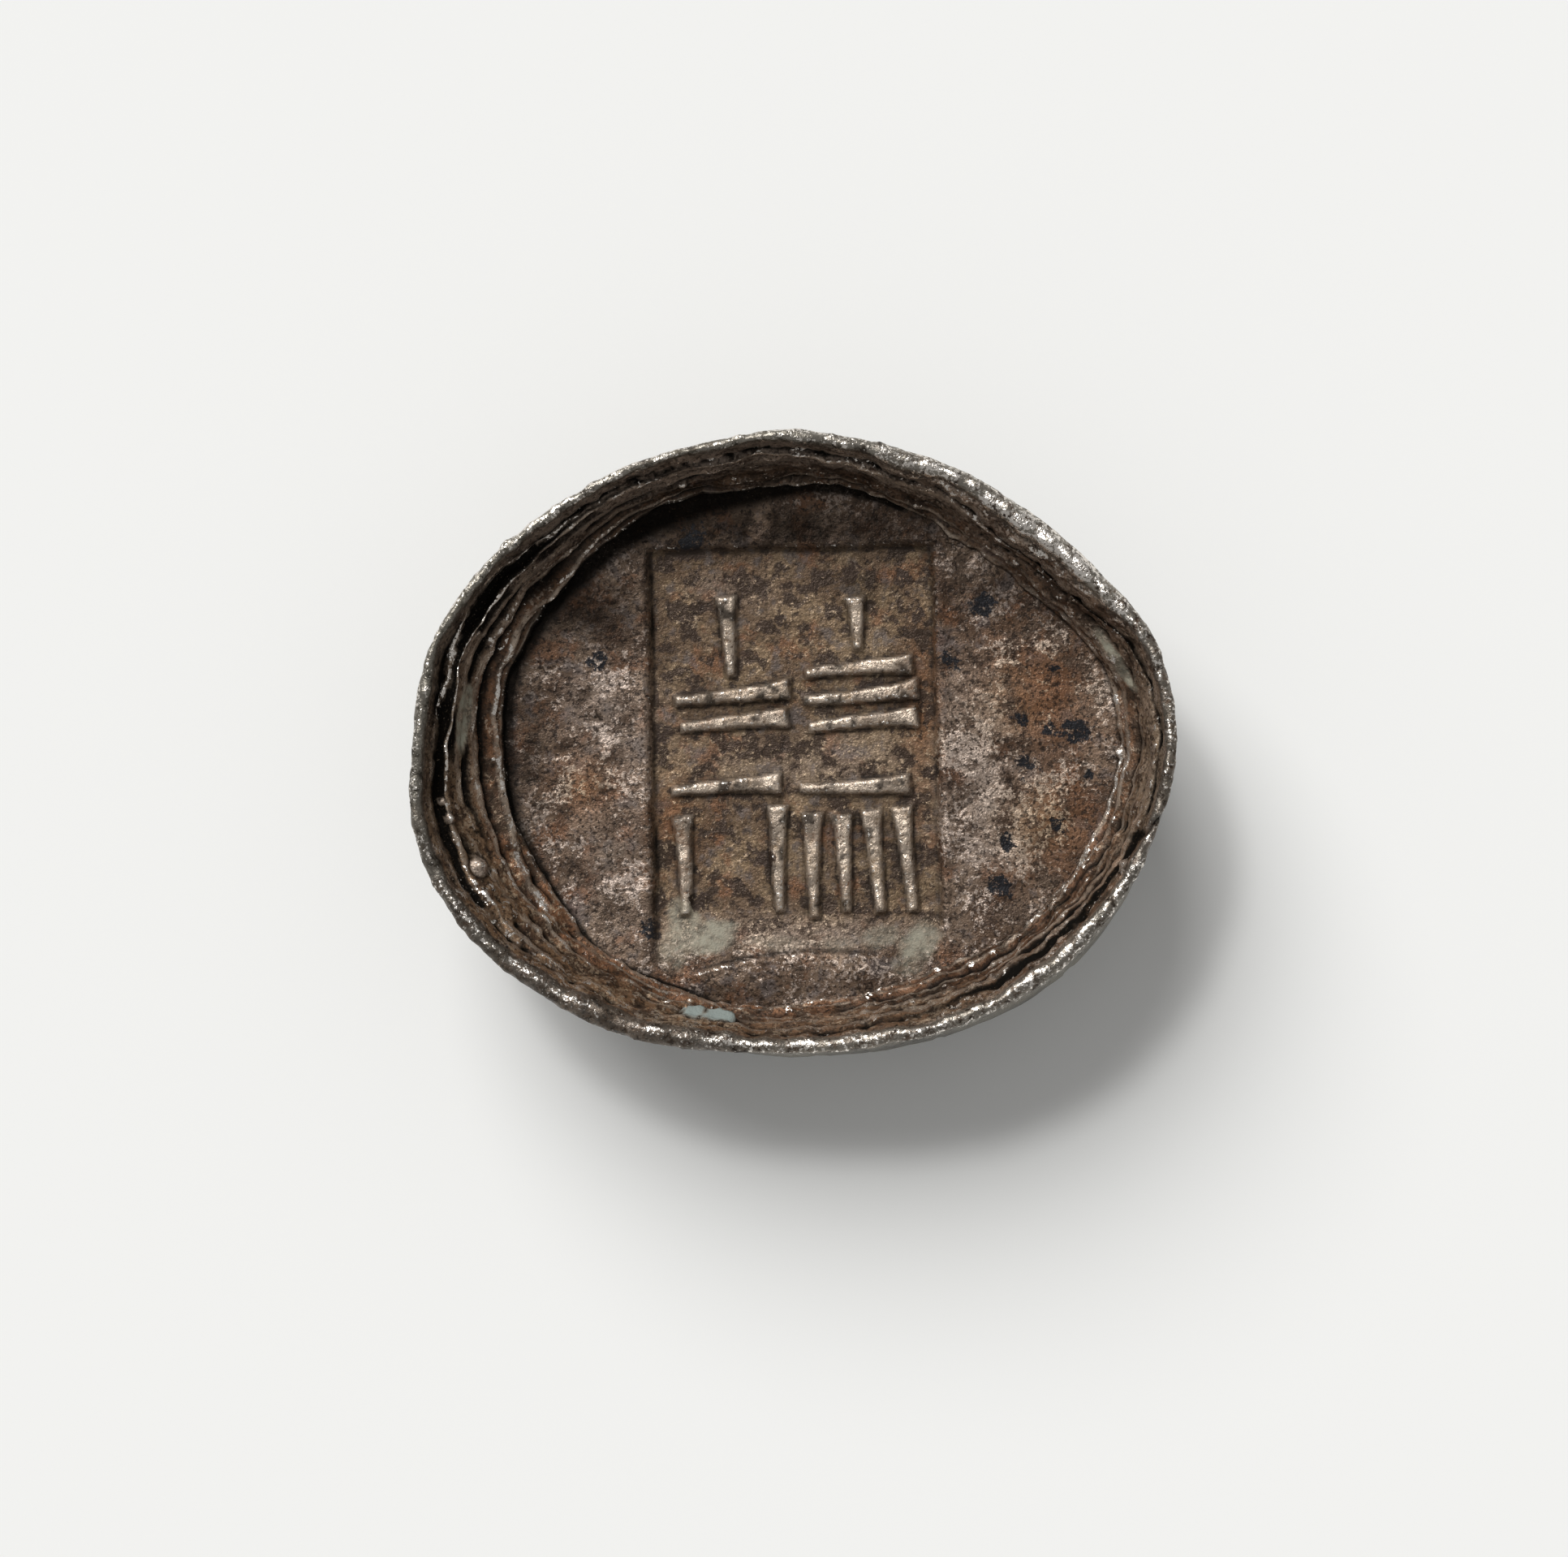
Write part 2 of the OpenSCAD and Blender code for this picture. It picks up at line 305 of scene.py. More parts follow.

# wear, painted light and painted shade round the rim, as shares from 0 up: bright and grey lip with a
# painted highlight along it, bright wall with painted glints, pale wall that is partly painted light,
# warm wall, paler crests that are partly painted sheen, darker lip, darker wall with painted shade,
# dark gaps, creases, groove and toe that are painted shade, and the width in millimetres of the
# painted shadow on the floor at the toe
wearLightAndShade = {
    "lipOuter": [0.1, 0.15, 0.15, 0.25, 0.3, 0.25, 0.15, 0.05, 0, 0.05, 0.1, 0.1],
    "lipInner": [0.15, 0.35, 0.3, 0.1, 0.3, 0.05, 0.05, 0.15, 0.1, 0.15, 0.1, 0.15],
    "lipHighlight": [0.2, 0.2, 0.2, 0.1, 0, 0, 0, 0.3, 0.35, 0.3, 0.3, 0.3],
    "lipBare": [0.4, 0.9, 0.75, 0.8, 0.95, 0.85, 0.6, 0.25, 0.2, 0.65, 0.7, 0.75],
    "lipGrey": [0.3, 0.2, 0.3, 0.8, 0.8, 0.9, 0.9, 0.5, 0.15, 0.15, 0.2, 0.3],
    "lipDusk": [0.5, 0.4, 0.3, 0.4, 0.4, 0.4, 0.5, 0.5, 0.5, 0.4, 0.4, 0.5],
    "wallRubAndGlint": [1.8, 0.9, 1, 1.5, 1.4, 1.7, 1.8, 1.5, 1.3, 1, 1, 1.5],
    "wallCrestWearAndSheen": [1, 0.5, 0.7, 1, 0.9, 1, 1, 0.8, 0.55, 0.45, 0.35, 0.7],
    "wallPaleAndLit": [0.9, 0.2, 0.7, 1, 1, 0.9, 0.8, 0.5, 0.4, 0.3, 0.3, 0],
    "wallWarm": [0.7, 0.4, 0.3, 0.3, 0.3, 0.4, 0.8, 1, 1, 0.9, 0.9, 0.8],
    "glints": [0.4, 0.35, 0.4, 0.5, 0.4, 0.2, 0.1, 0.3, 0.4, 0.3, 0.4, 0.4],
    "creaseShade": [0.35, 0.3, 0.4, 0.5, 0.7, 0.85, 0.9, 0.7, 0.45, 0.5, 0.7, 0.9],
    "grooveShade": [1, 0.9, 0.3, 0, 0, 0.6, 0.8, 0, 0.1, 0.5, 0.5, 0.9],
    "shadeAndTarnishHigh": [0, 0.1, 0, 0, 0, 0.1, 0.15, 0, 0, 0, 0.15, 0.3],
    "shadeAndTarnishLow": [0, 0.2, 0.3, 0.45, 0.55, 0.15, 0.05, 0, 0.1, 0.1, 0.65, 0.55],
    "gapShade": [0.3, 0.2, 0.3, 0.4, 0.5, 0.5, 0.5, 0.15, 0.1, 0.15, 0.3, 0.35],
    "toeShade": [0.1, 0, 0, 0.8, 1, 1, 1, 0.8, 0.5, 0.4, 0.3, 0.2],
    "toeShadow": [0, 0, 0, 1, 2, 1.4, 0.8, 0.5, 0.2, 0, 0, 0],
}

# cast skin: lumps and grain on each zone, as height and size in millimetres and a noise seed
skin = [
    {"zone": "plainFloor", "height": 0.06, "size": 0.9, "seed": 101},
    {"zone": "floor", "height": 0.015, "size": 0.5, "seed": 103},
    {"zone": "wall", "height": 0.05, "size": 0.7, "seed": 105},
    {"zone": "lip", "height": 0.12, "size": 0.8, "seed": 107},
    {"zone": "outside", "height": 0.14, "size": 4.0, "seed": 109},
    {"zone": "outside", "height": 0.05, "size": 1.2, "seed": 111},
]

# round pits in the outer skin
skinPits = {"depth": 0.16, "size": 1.5, "seed": 113}


def latticeNoise(points, size, seed):
    # smooth noise from -1 to 1, the same on every run
    place = points / size + seed * 17.37
    cell = np.floor(place).astype(np.int64)
    part = place - cell
    part = part * part * (3 - 2 * part)
    total = np.zeros(len(points))
    for corner in itertools.product((0, 1), repeat=3):
        c = cell + np.array(corner)
        code = (c[:, 0] * 73856093) ^ (c[:, 1] * 19349663) ^ (c[:, 2] * 83492791)
        code = (code ^ (code >> 13)) * 1274126177
        code = (code ^ (code >> 16)) & 0xFFFF
        weight = np.where(corner, part, 1 - part).prod(axis=1)
        total += weight * (code / 32767.5 - 1)
    return total


def layeredNoise(points, size, seed, layers=3):
    return sum(latticeNoise(points, size / 2 ** k, seed + k) / 2 ** k for k in range(layers))


def smoothStep(low, high, value):
    part = np.clip((value - low) / (high - low), 0, 1)
    return part * part * (3 - 2 * part)


def roundRim(values, t):
    # smooth curve through values spread evenly round the rim
    values = np.array(values, float)
    count = len(values)
    place = np.mod(t, 360) / 360 * count
    i = np.floor(place).astype(int)
    f = place - i
    before, start = values[(i - 1) % count], values[i % count]
    end, after = values[(i + 1) % count], values[(i + 2) % count]
    bend = 2 * before - 5 * start + 4 * end - after + f * (3 * start - before - 3 * end + after)
    return start + f * (end - before + f * bend) / 2


def oval(length, width, t):
    a = np.radians(t)
    return length * width / 2 / np.hypot(width * np.cos(a), length * np.sin(a))


def rimPlace(t, level=0.0, stretch=1.0):
    # a point for each angle on a ring of the rim's size, so that noise closes on itself
    a = np.radians(t)
    return np.stack([
        rimLength / 2 * np.cos(a) / stretch,
        rimWidth / 2 * np.sin(a) / stretch,
        np.zeros(len(t)) + level,
    ], axis=1)


def strayOval(t):
    # the rim's uneven oval, before its small wobble
    return oval(rimLength, rimWidth, t) + casting["rimStray"] * roundRim(casting["strayShare"], t)


def rim(t):
    return strayOval(t) + casting["rimWobble"] * layeredNoise(rimPlace(t), 4.0, 3)


def lipRadius(t):
    radius = casting["lipThickness"] / 2 * roundRim(casting["lipShare"], t)
    return radius * (1 + casting["lipUneven"] * layeredNoise(rimPlace(t), 3.0, 11))


def nickMark(t, level):
    # 1 in the nick, which leaves the lip's outer side at level 3
    middle = nick["angle"] + nick["slant"] * (level - 3)
    off = np.radians((t - middle + 180) % 360 - 180) * rimLength / 2
    return np.exp(-(off / nick["halfWidth"]) ** 2)


def lipTop(t):
    dip = casting["lipDip"] * roundRim(casting["dipShare"], t)
    wobble = casting["topWobble"] * layeredNoise(rimPlace(t), 2.5, 7)
    return rimHeight - dip + wobble - casting["topDrop"]


def toe(t):
    wobble = casting["toeWobble"] * layeredNoise(rimPlace(t), 3.0, 21)
    return strayOval(t) - casting["wallRun"] * roundRim(casting["runShare"], t) + wobble


def lipSection(t, s):
    # 0 at the lip's outer side, 1 at its inner side
    radius = lipRadius(t)
    a = np.radians(180 * s)
    return rim(t) - radius + radius * np.cos(a), lipTop(t) - radius + radius * np.sin(a)


def wallFolds(t, u):
    # push off the plain wall, then marks from 0 to 1 for the painted shade in creases and for crests
    push, crease, crest = np.zeros(len(t)), np.zeros(len(t)), np.zeros(len(t))
    warp = foldLook["warp"] * np.sin(np.pi * u) * layeredNoise(rimPlace(t, 4 * u), 2.2, 29)
    u = u + warp
    heights, ends, merges = [], [np.zeros(len(t))], [np.ones(len(t))]
    for k, fold in enumerate(folds):
        place = rimPlace(t, 9.0 * k)
        last = k == len(folds) - 1
        height = foldLook["height"] * roundRim(fold["share"], t)
        heights.append(height * (1 + foldLook["uneven"] * layeredNoise(place, 4.0, 41)))
        wander = 0.0 if last else foldLook["wander"] * layeredNoise(place, 5.0, 31)
        ends.append(roundRim(fold["end"], t) + wander)
        joined = smoothStep(foldLook["mergeLow"], foldLook["mergeHigh"], layeredNoise(place, 6.0, 37))
        merges.append(np.zeros(len(t)) if last else joined)
    for k, fold in enumerate(folds):
        inFold = (u >= ends[k]) & (u < ends[k + 1])
        f = np.clip((u - ends[k]) / np.maximum(ends[k + 1] - ends[k], 0.02), 0, 1)
        bulge = np.sqrt(np.maximum(1 - (2 * f ** foldLook["crestShift"] - 1) ** 2, 0))
        above = heights[k - 1] if k else heights[k] * 0
        below = heights[k + 1] if k + 1 < len(folds) else heights[k] * 0
        valley = np.where(
            f < 0.5,
            foldLook["valley"] * merges[k] * (heights[k] + above) / 2,
            foldLook["valley"] * merges[k + 1] * (heights[k] + below) / 2)
        push[inFold] = (bulge * heights[k] + (1 - bulge) * valley)[inFold]
        deep = smoothStep(0.05, 0.25, heights[k] - valley)
        # the upper side of each fold painted dark as shade
        gap = fold["gap"] * roundRim(wearLightAndShade["gapShade"], t)
        dark = np.maximum(smoothStep(0.75, 0.3, bulge), smoothStep(gap + 0.12, gap - 0.08, f))
        # the last fold's floor side painted dark as the shade under its overhang
        if k == len(folds) - 1:
            dark = np.maximum(dark, roundRim(wearLightAndShade["toeShade"], t) * smoothStep(0.4, 0.55, f))
        # painted shade in the creases
        crease[inFold] = (deep * dark * roundRim(wearLightAndShade["creaseShade"], t))[inFold]
        crest[inFold] = (deep * smoothStep(0.86, 1.0, bulge))[inFold]
    return push, crease, crest


def threadMark(t, u):
    wander = thread["wander"] * layeredNoise(rimPlace(t, 70.0), 7.0, 139)
    middle = roundRim(folds[0]["end"], t) + wander
    return roundRim(thread["share"], t) * np.exp(-((u - middle) / thread["width"]) ** 2)


def grooveDepth(t, u):
    gap = (u - roundRim(folds[0]["end"], t)) / groove["width"]
    depth = groove["depth"] * roundRim(groove["share"], t) * np.exp(-gap ** 2)
    return depth * (1 - thread["rise"] * threadMark(t, u))


def innerWallSection(t, u):
    topR, topZ = lipSection(t, 1.0)
    run = topR - toe(t)
    drop = casting["floorThickness"] - topZ
    slope = np.hypot(run, drop)
    inR, inZ = drop / slope, run / slope
    downR, downZ = -run / slope, drop / slope
    ends = smoothStep(0, 0.06, u) * smoothStep(1, 0.94, u)
    push = wallFolds(t, u)[0] * smoothStep(0, 0.04, u)
    over = push * foldLook["lean"] * run / -drop
    flow = layeredNoise(rimPlace(t, u * slope / 1.1, 6.0), 1.0, 47, 2)
    line = np.clip(1 - 1.6 * np.abs(flow), 0, 1) ** 2 - 0.25
    push += ends * roundRim(casting["flowLines"], t) * line
    push += ends * roundRim(casting["lumps"], t) * layeredNoise(rimPlace(t, u * slope), 1.0, 53)
    r = topR - run * u
    z = topZ + drop * (u + casting["wallSag"] * np.sin(np.pi * u))
    z = z - grooveDepth(t, u) * smoothStep(0, 0.04, u)
    return r + push * inR + over * downR, z + push * inZ + over * downZ


def outerWallSection(t, s):
    topR, topZ = lipSection(t, 0.0)
    foot = oval(casting["baseLength"], casting["baseWidth"], t)
    swell = casting["wallSwell"] * np.maximum(0, roundRim(casting["swellShare"], t))
    hump = np.sin(np.pi * s ** casting["swellLift"])
    r = foot + (topR - foot) * np.sin(np.pi / 2 * s) + swell * hump
    return r, topZ * (1 - np.cos(np.pi / 2 * s))


def baseSection(t, s):
    return s * oval(casting["baseLength"], casting["baseWidth"], t), np.zeros(len(t))


def rodList():
    # each rod: middle, direction of its head in degrees, length and bow
    head = numerals["rodHead"]
    high, wide, pitch = numerals["height"], numerals["width"], numerals["rodPitch"]
    rods = []
    for column in (0, 1):
        level, upright = [], []
        count = 2 + column
        stem = high - count * pitch
        level.append((0, (high - stem) / 2, 90, stem))
        for i in range(count):
            level.append((0, pitch * i - (high - head) / 2, 0, wide))
        count = 2 + 2 * column
        upright.append((0, (high - head) / 2, 0, wide))
        for i in range(count):
            across = (wide - head) / (count - 1) * i - (wide - head) / 2
            upright.append((across, -head, 90, high - 2 * head))
        centreX = panel["x"] + (column - 0.5) * numerals["columnPitch"]
        turn = math.radians(numerals["tilt"])
        for row, marks in ((0.5, level), (-0.5, upright)):
            centreY = panel["y"] + row * numerals["rowPitch"]
            for x, y, direction, length in marks:
                # no two rods were cut quite alike
                sway = math.sin(7.3 * len(rods))
                rods.append({
                    "x": centreX + x * math.cos(turn) - y * math.sin(turn),
                    "y": centreY + x * math.sin(turn) + y * math.cos(turn),
                    "direction": direction + numerals["tilt"] + numerals["sway"] * sway,
                    "length": length * (1 + numerals["lengthSway"] * math.sin(4.1 * len(rods))),
                    "bow": numerals["bow"] * math.sin(2.9 * len(rods)),
                })
    return rods


def onPlan(x, y):
    return np.stack([x, y, np.zeros(len(x))], axis=1)


def turned(x, y, degrees):
    # places along and across a direction
    a = math.radians(degrees)
    return x * math.cos(a) + y * math.sin(a), y * math.cos(a) - x * math.sin(a)


def rodCover(x, y):
    # 1 on the rods, 0 off them
    ragged = numerals["ragged"] * layeredNoise(onPlan(x, y), 0.9, 51, 2)
    cover = np.zeros(len(x))
    for rod in rodList():
        along, across = turned(x - rod["x"], y - rod["y"], rod["direction"])
        part = np.clip(along / rod["length"] + 0.5, 0, 1)
        across = across + rod["bow"] * (4 * (part - 0.5) ** 2 - 0.5)
        half = (numerals["rodTail"] + (numerals["rodHead"] - numerals["rodTail"]) * part) / 2
        half = half * (1 + numerals["flare"] * smoothStep(0.75, 1.0, part))
        inside = np.minimum(half - np.abs(across), rod["length"] / 2 - np.abs(along)) + ragged
        cover = np.maximum(cover, smoothStep(-numerals["edge"], numerals["edge"], inside))
    return cover


def onPanel(x, y):
    # places measured from the middle of the panel, along its own sides
    return turned(x - panel["x"], y - panel["y"], panel["turn"])


def panelCover(x, y):
    # 1 in the panel, 0 outside, and the distance inside its edges
    stray = panel["stray"] * layeredNoise(onPlan(x, y), 3.0, 61)
    across, along = onPanel(x, y)
    sides = panel["width"] / 2 - np.abs(across) + stray
    top = panel["length"] / 2 - along + stray
    bottom = smoothStep(-1.0, 4.0, along + panel["length"] / 2)
    inside = np.minimum(sides, top)
    return smoothStep(-panel["edge"], panel["edge"], inside) * bottom, inside


def belowStep(x, y):
    # distance below the curved line of the step
    return step["y"] - step["bow"] * (x - step["crownX"]) ** 2 - y


def floorRelief(x, y):
    place = onPlan(x, y)
    relief = -panel["depth"] * panelCover(x, y)[0]
    beside = np.abs(onPanel(x, y)[0]) - panel["width"] / 2
    besideEnds = smoothStep(13.0, 11.0, np.abs(y))
    burr = np.exp(-(((beside - panel["burrOff"]) / panel["burrWidth"]) ** 2))
    relief += panel["burr"] * besideEnds * burr
    uneven = 1 + numerals["uneven"] * layeredNoise(place, 1.2, 71)
    relief += numerals["rodHeight"] * rodCover(x, y) * uneven
    line = belowStep(x, y)
    ends = smoothStep(step["reach"], step["reach"] - 1.5, np.abs(x - step["x"]))
    lift = smoothStep(-step["edge"], step["edge"], line) * smoothStep(3.5, 1.0, line)
    relief += step["rise"] * ends * lift
    return relief + casting["floorWave"] * layeredNoise(place, 5.0, 81)


def selectInCode(mesh, wanted):
    # selects the edges for which wanted() is true, in edit mode
    edit = bmesh.from_edit_mesh(mesh)
    for edge in edit.edges:
        edge.select_set(wanted(edge))
    edit.select_flush_mode()
    bmesh.update_edit_mesh(mesh)


def rise(edge):
    return abs(edge.verts[0].co.z - edge.verts[1].co.z)


def selectBorder():
    bpy.ops.mesh.select_all(action="DESELECT")
    bpy.ops.mesh.select_non_manifold(
        use_wire=False, use_boundary=True, use_multi_face=False,
        use_non_contiguous=False, use_verts=False)


def makeStartMesh():
    # a flat grid for the block, then one open wall per zone, each cut into its rows
    bpy.ops.object.select_all(action="DESELECT")
    bpy.ops.mesh.primitive_grid_add(
        x_subdivisions=meshRows["across"], y_subdivisions=meshRows["along"], size=1)
    piece = bpy.context.object
    piece.name = "ingotCasting"
    piece.data.name = "ingotCasting"
    bpy.ops.object.mode_set(mode="EDIT")
    bpy.ops.mesh.select_all(action="SELECT")
    bpy.ops.transform.resize(value=(block["width"], block["length"], 1))
    bpy.ops.mesh.select_mode(type="EDGE")
    for zone in ("floor", "innerWall", "lip", "outerWall", "base"):
        selectBorder()
        bpy.ops.mesh.extrude_region_move(TRANSFORM_OT_translate={"value": (0, 0, 1)})
        selectInCode(piece.data, lambda edge: rise(edge) > 0.9)
        bpy.ops.mesh.subdivide(number_cuts=meshRows[zone] - 1)
        print("rows of", zone, "done")
    selectBorder()
    bpy.ops.mesh.merge(type="CENTER")
    bpy.ops.object.mode_set(mode="OBJECT")
    return piece


def readVectors(mesh, name):
    flat = np.zeros(len(mesh.vertices) * 3, np.float32)
    mesh.vertices.foreach_get(name, flat)
    return flat.reshape(-1, 3).astype(float)


def readPoints(mesh):
    return readVectors(mesh, "co")


def writePoints(mesh, points):
    mesh.vertices.foreach_set("co", points.astype(np.float32).ravel())
    mesh.update()


def readNormals(mesh):
    return readVectors(mesh, "normal")


def angleRound(x, y):
    # the angle on the rim that a point on the block's border leads to
    halfW, halfL = block["width"] / 2, block["length"] / 2
    small = 1e-3
    right = x > halfW - small
    top = y > halfL - small
    left = x < small - halfW
    way = np.where(
        right, y,
        np.where(top, halfL + halfW - x,
                 np.where(left, 2 * halfL + 2 * halfW - y,
                          3 * halfL + 3 * halfW + x)))
    turn = 2 * np.pi * way / (4 * (halfW + halfL))
    angle = np.arctan2(rimWidth * np.sin(turn), rimLength * np.cos(turn))
    return np.degrees(angle)


def onSection(r, z, t):
    a = np.radians(t)
    return np.stack([r * np.cos(a), r * np.sin(a), z], axis=1)


def shapeCasting(piece):
    # level is 0 on the block, 1 at the floor's edge, 2 inside the lip, 3 outside it
    # and 4 at the base's edge
    start = readPoints(piece.data)
    x, y, level = start.T
    t = angleRound(x, y)
    points = np.zeros(start.shape)
    zones = np.clip(np.ceil(level - 1e-4), 0, 5).astype(int)
    floorZ = casting["floorThickness"]

    flat = zones <= 1
    share = level[flat] ** 1.3
    toeR = toe(t[flat])
    a = np.radians(t[flat])
    fx = (1 - share) * (x[flat] + block["x"]) + share * toeR * np.cos(a)
    fy = (1 - share) * (y[flat] + block["y"]) + share * toeR * np.sin(a)
    settle = smoothStep(1.0, 0.75, level[flat])
    points[flat] = np.stack([fx, fy, floorZ + settle * floorRelief(fx, fy)], axis=1)

    sections = {2: innerWallSection, 3: lipSection, 4: outerWallSection, 5: baseSection}
    for zone, section in sections.items():
        ring = zones == zone
        r, z = section(t[ring], zone - level[ring])
        points[ring] = onSection(r, z, t[ring])
    writePoints(piece.data, points)
    return t, level


def beadCentre(bead):
    angle = np.array([bead["angle"]])
    r, z = innerWallSection(angle, np.array([bead["at"]]))
    return onSection(r, z, angle)[0]


def onChip(points):
    # places along and up the chip, and how far off its middle, 1 at its edges
    off = points - beadCentre(chip)
    along = turned(off[:, 0], off[:, 1], chip["angle"])[1] / chip["halfLength"]
    high = off[:, 2] / chip["halfHeight"]
    near = np.linalg.norm(off, axis=1) < 2 * chip["halfLength"]
    ragged = 0.4 * layeredNoise(onPlan(along, high), 0.5, 151)
    return along, high, np.where(near, along ** 4 + high ** 2 + ragged, 9.0)


def roughenCasting(piece, t, level):
    # cast skin and the nick pushed along the normals, then the beads and the chip
    points = readPoints(piece.data)
    normals = readNormals(piece.data)
    flat = smoothStep(1.2, 0.8, level)
    zones = {
        "floor": flat,
        "plainFloor": flat * (1 - 0.7 * panelCover(points[:, 0], points[:, 1])[0]),
        "wall": smoothStep(0.8, 1.2, level) * smoothStep(3.2, 2.8, level),
        "lip": smoothStep(1.9, 2.1, level) * smoothStep(3.1, 2.9, level),
        "outside": smoothStep(2.9, 3.3, level),
    }
    push = np.zeros(len(points))
    for layer in skin:
        noise = layeredNoise(points, layer["size"], layer["seed"])
        push += layer["height"] * zones[layer["zone"]] * noise
    push -= nick["depth"] * zones["lip"] * nickMark(t, level)
    pitted = smoothStep(0.5, 0.9, layeredNoise(points, skinPits["size"], skinPits["seed"]))
    push -= skinPits["depth"] * zones["outside"] * pitted
    points += normals * push[:, None]
    for bead in beads:
        gap = np.linalg.norm(points - beadCentre(bead), axis=1)
        swell = np.sqrt(np.maximum(bead["radius"] ** 2 - gap ** 2, 0))
        points += normals * swell[:, None]
    a = math.radians(chip["angle"])
    inward = np.array([-math.cos(a), -math.sin(a), 0.0])
    high, gap = onChip(points)[1:]
    push = chip["push"] - chip["lean"] * np.clip(high, -1, 1)
    points += inward * (push * smoothStep(1.4, 0.8, gap) * (level < 2))[:, None]
    points[:, 2] = np.maximum(points[:, 2], 0)
    writePoints(piece.data, points)


def smoothed(points, edges, rounds):
    count = np.bincount(edges.ravel(), minlength=len(points))
    for i in range(rounds):
        total = np.zeros(points.shape)
        for axis in range(3):
            total[:, axis] = np.bincount(edges[:, 0], points[edges[:, 1], axis], len(points))
            total[:, axis] += np.bincount(edges[:, 1], points[edges[:, 0], axis], len(points))
        points = 0.5 * points + 0.5 * total / count[:, None]
    return points


def addValue(mesh, name, values):
    attribute = mesh.attributes.new(name, "FLOAT", "POINT")
    attribute.data.foreach_set("value", np.clip(values, 0, 1).astype(np.float32))


def onPatch(spot, x, y):
    # places along and across a patch, 1 at its edges
    along, across = turned(x - spot["x"], y - spot["y"], spot["turn"])
    return along / spot["halfX"], across / spot["halfY"]


def ovalGap(spot, x, y):
    # squared distance from the middle of an oval patch, 1 at its edge
    return ((x - spot["x"]) / spot["halfX"]) ** 2 + ((y - spot["y"]) / spot["halfY"]) ** 2


def wallMarks(t, level, onWall):
    # painted shade in the wall's creases and groove, and the wall's crests, with the thin ridge in
    # the groove, 0 off the wall
    crease, crest, sunk, ridged = np.zeros((4, len(t)))
    u = 2 - level[onWall]
    crease[onWall], crest[onWall] = wallFolds(t[onWall], u)[1:]
    sunk[onWall] = 1.5 * grooveDepth(t[onWall], u)
    ridged[onWall] = threadMark(t[onWall], u)
    crease = np.minimum(crease + sunk * roundRim(wearLightAndShade["grooveShade"], t), 1)
    return crease * (1 - 0.85 * ridged), np.maximum(crest, 0.6 * ridged)


def placesOn(mesh, t, level):
    # what the wear, tarnish and painted light and shade depend on, for every corner of the mesh
    at = SimpleNamespace(t=t, level=level, points=readPoints(mesh))
    normals = readNormals(mesh)
    edges = np.zeros(len(mesh.edges) * 2, np.int32)
    mesh.edges.foreach_get("vertices", edges)
    edges = edges.reshape(-1, 2)
    at.fine = ((at.points - smoothed(at.points, edges, 6)) * normals).sum(axis=1)
    at.broad = ((at.points - smoothed(at.points, edges, 40)) * normals).sum(axis=1)
    at.x, at.y = at.points.T[:2]
    at.plan = onPlan(at.x, at.y)
    at.onFloor = level <= 1
    at.onWall = (level > 1) & (level < 2)
    at.onLip = smoothStep(1.95, 2.1, level) * smoothStep(3.06, 2.95, level)
    at.panelShare, at.inside = panelCover(at.x, at.y)
    at.rods = rodCover(at.x, at.y) * at.onFloor
    at.crease, at.crest = wallMarks(t, level, at.onWall)
    at.rim = {name: roundRim(values, t) for name, values in wearLightAndShade.items()}
    at.nicked = nickMark(t, level) * smoothStep(1.55, 1.85, level) * (level < 3.06)
    return at


def rubAndGlintMark(at):
    # where the silver is rubbed bright and where highlights are painted: worn crests with painted
    # glints, the worn lip with a painted highlight line, painted glints under it and a patch of
    # painted glints on the upper right wall
    crest = smoothStep(0.015, 0.08, at.fine) * 0.7 + smoothStep(0.08, 0.35, at.broad) * 0.25
    # painted glints along the fold crests
    crest = crest + 0.35 * at.crest * smoothStep(-0.2, 0.5, layeredNoise(at.points, 1.5, 127))
    keep = np.where(np.abs(at.inside) < 0.7, 0.2, 0.5 - 0.25 * at.panelShare)
    keep = np.where(at.onWall, at.rim["wallRubAndGlint"], keep)
    patch = 0.15 + smoothStep(-0.5, 0.6, layeredNoise(at.points, 1.4, 121))
    outer = smoothStep(2.5, 2.75, at.level)
    lipRubAndGlint = outer * at.rim["lipOuter"] + (1 - outer) * at.rim["lipInner"]
    # painted highlight line along the lip
    line = np.exp(-(((at.level - 2.42 - 0.12 * layeredNoise(at.points, 2.0, 119)) / 0.09) ** 2))
    lipRubAndGlint = (lipRubAndGlint + at.rim["lipHighlight"] * line) * patch
    lipRubAndGlint += 0.4 * crest * at.rim["lipBare"]
    rubAndGlint = (1 - at.onLip) * crest * keep * (1 - at.crease) + at.onLip * lipRubAndGlint
    # painted glints under the lip
    underLip = smoothStep(1.66, 1.8, at.level) * smoothStep(2.1, 2.0, at.level)
    glints = at.rim["glints"] * smoothStep(0.0, 0.5, layeredNoise(at.points, 0.7, 123))
    rubAndGlint += underLip * glints * (1 - at.crease)
    # a patch of painted glints on the upper right wall
    turn = at.t % 360
    wide = smoothStep(0, 25, turn) * smoothStep(75, 50, turn) * (at.level > 1.55) * (at.level < 2.1)
    rubAndGlint += 0.2 * wide * smoothStep(-0.2, 0.5, layeredNoise(at.points, 0.8, 125))
    return rubAndGlint * smoothStep(3.06, 3.0, at.level) * (1 - at.nicked)


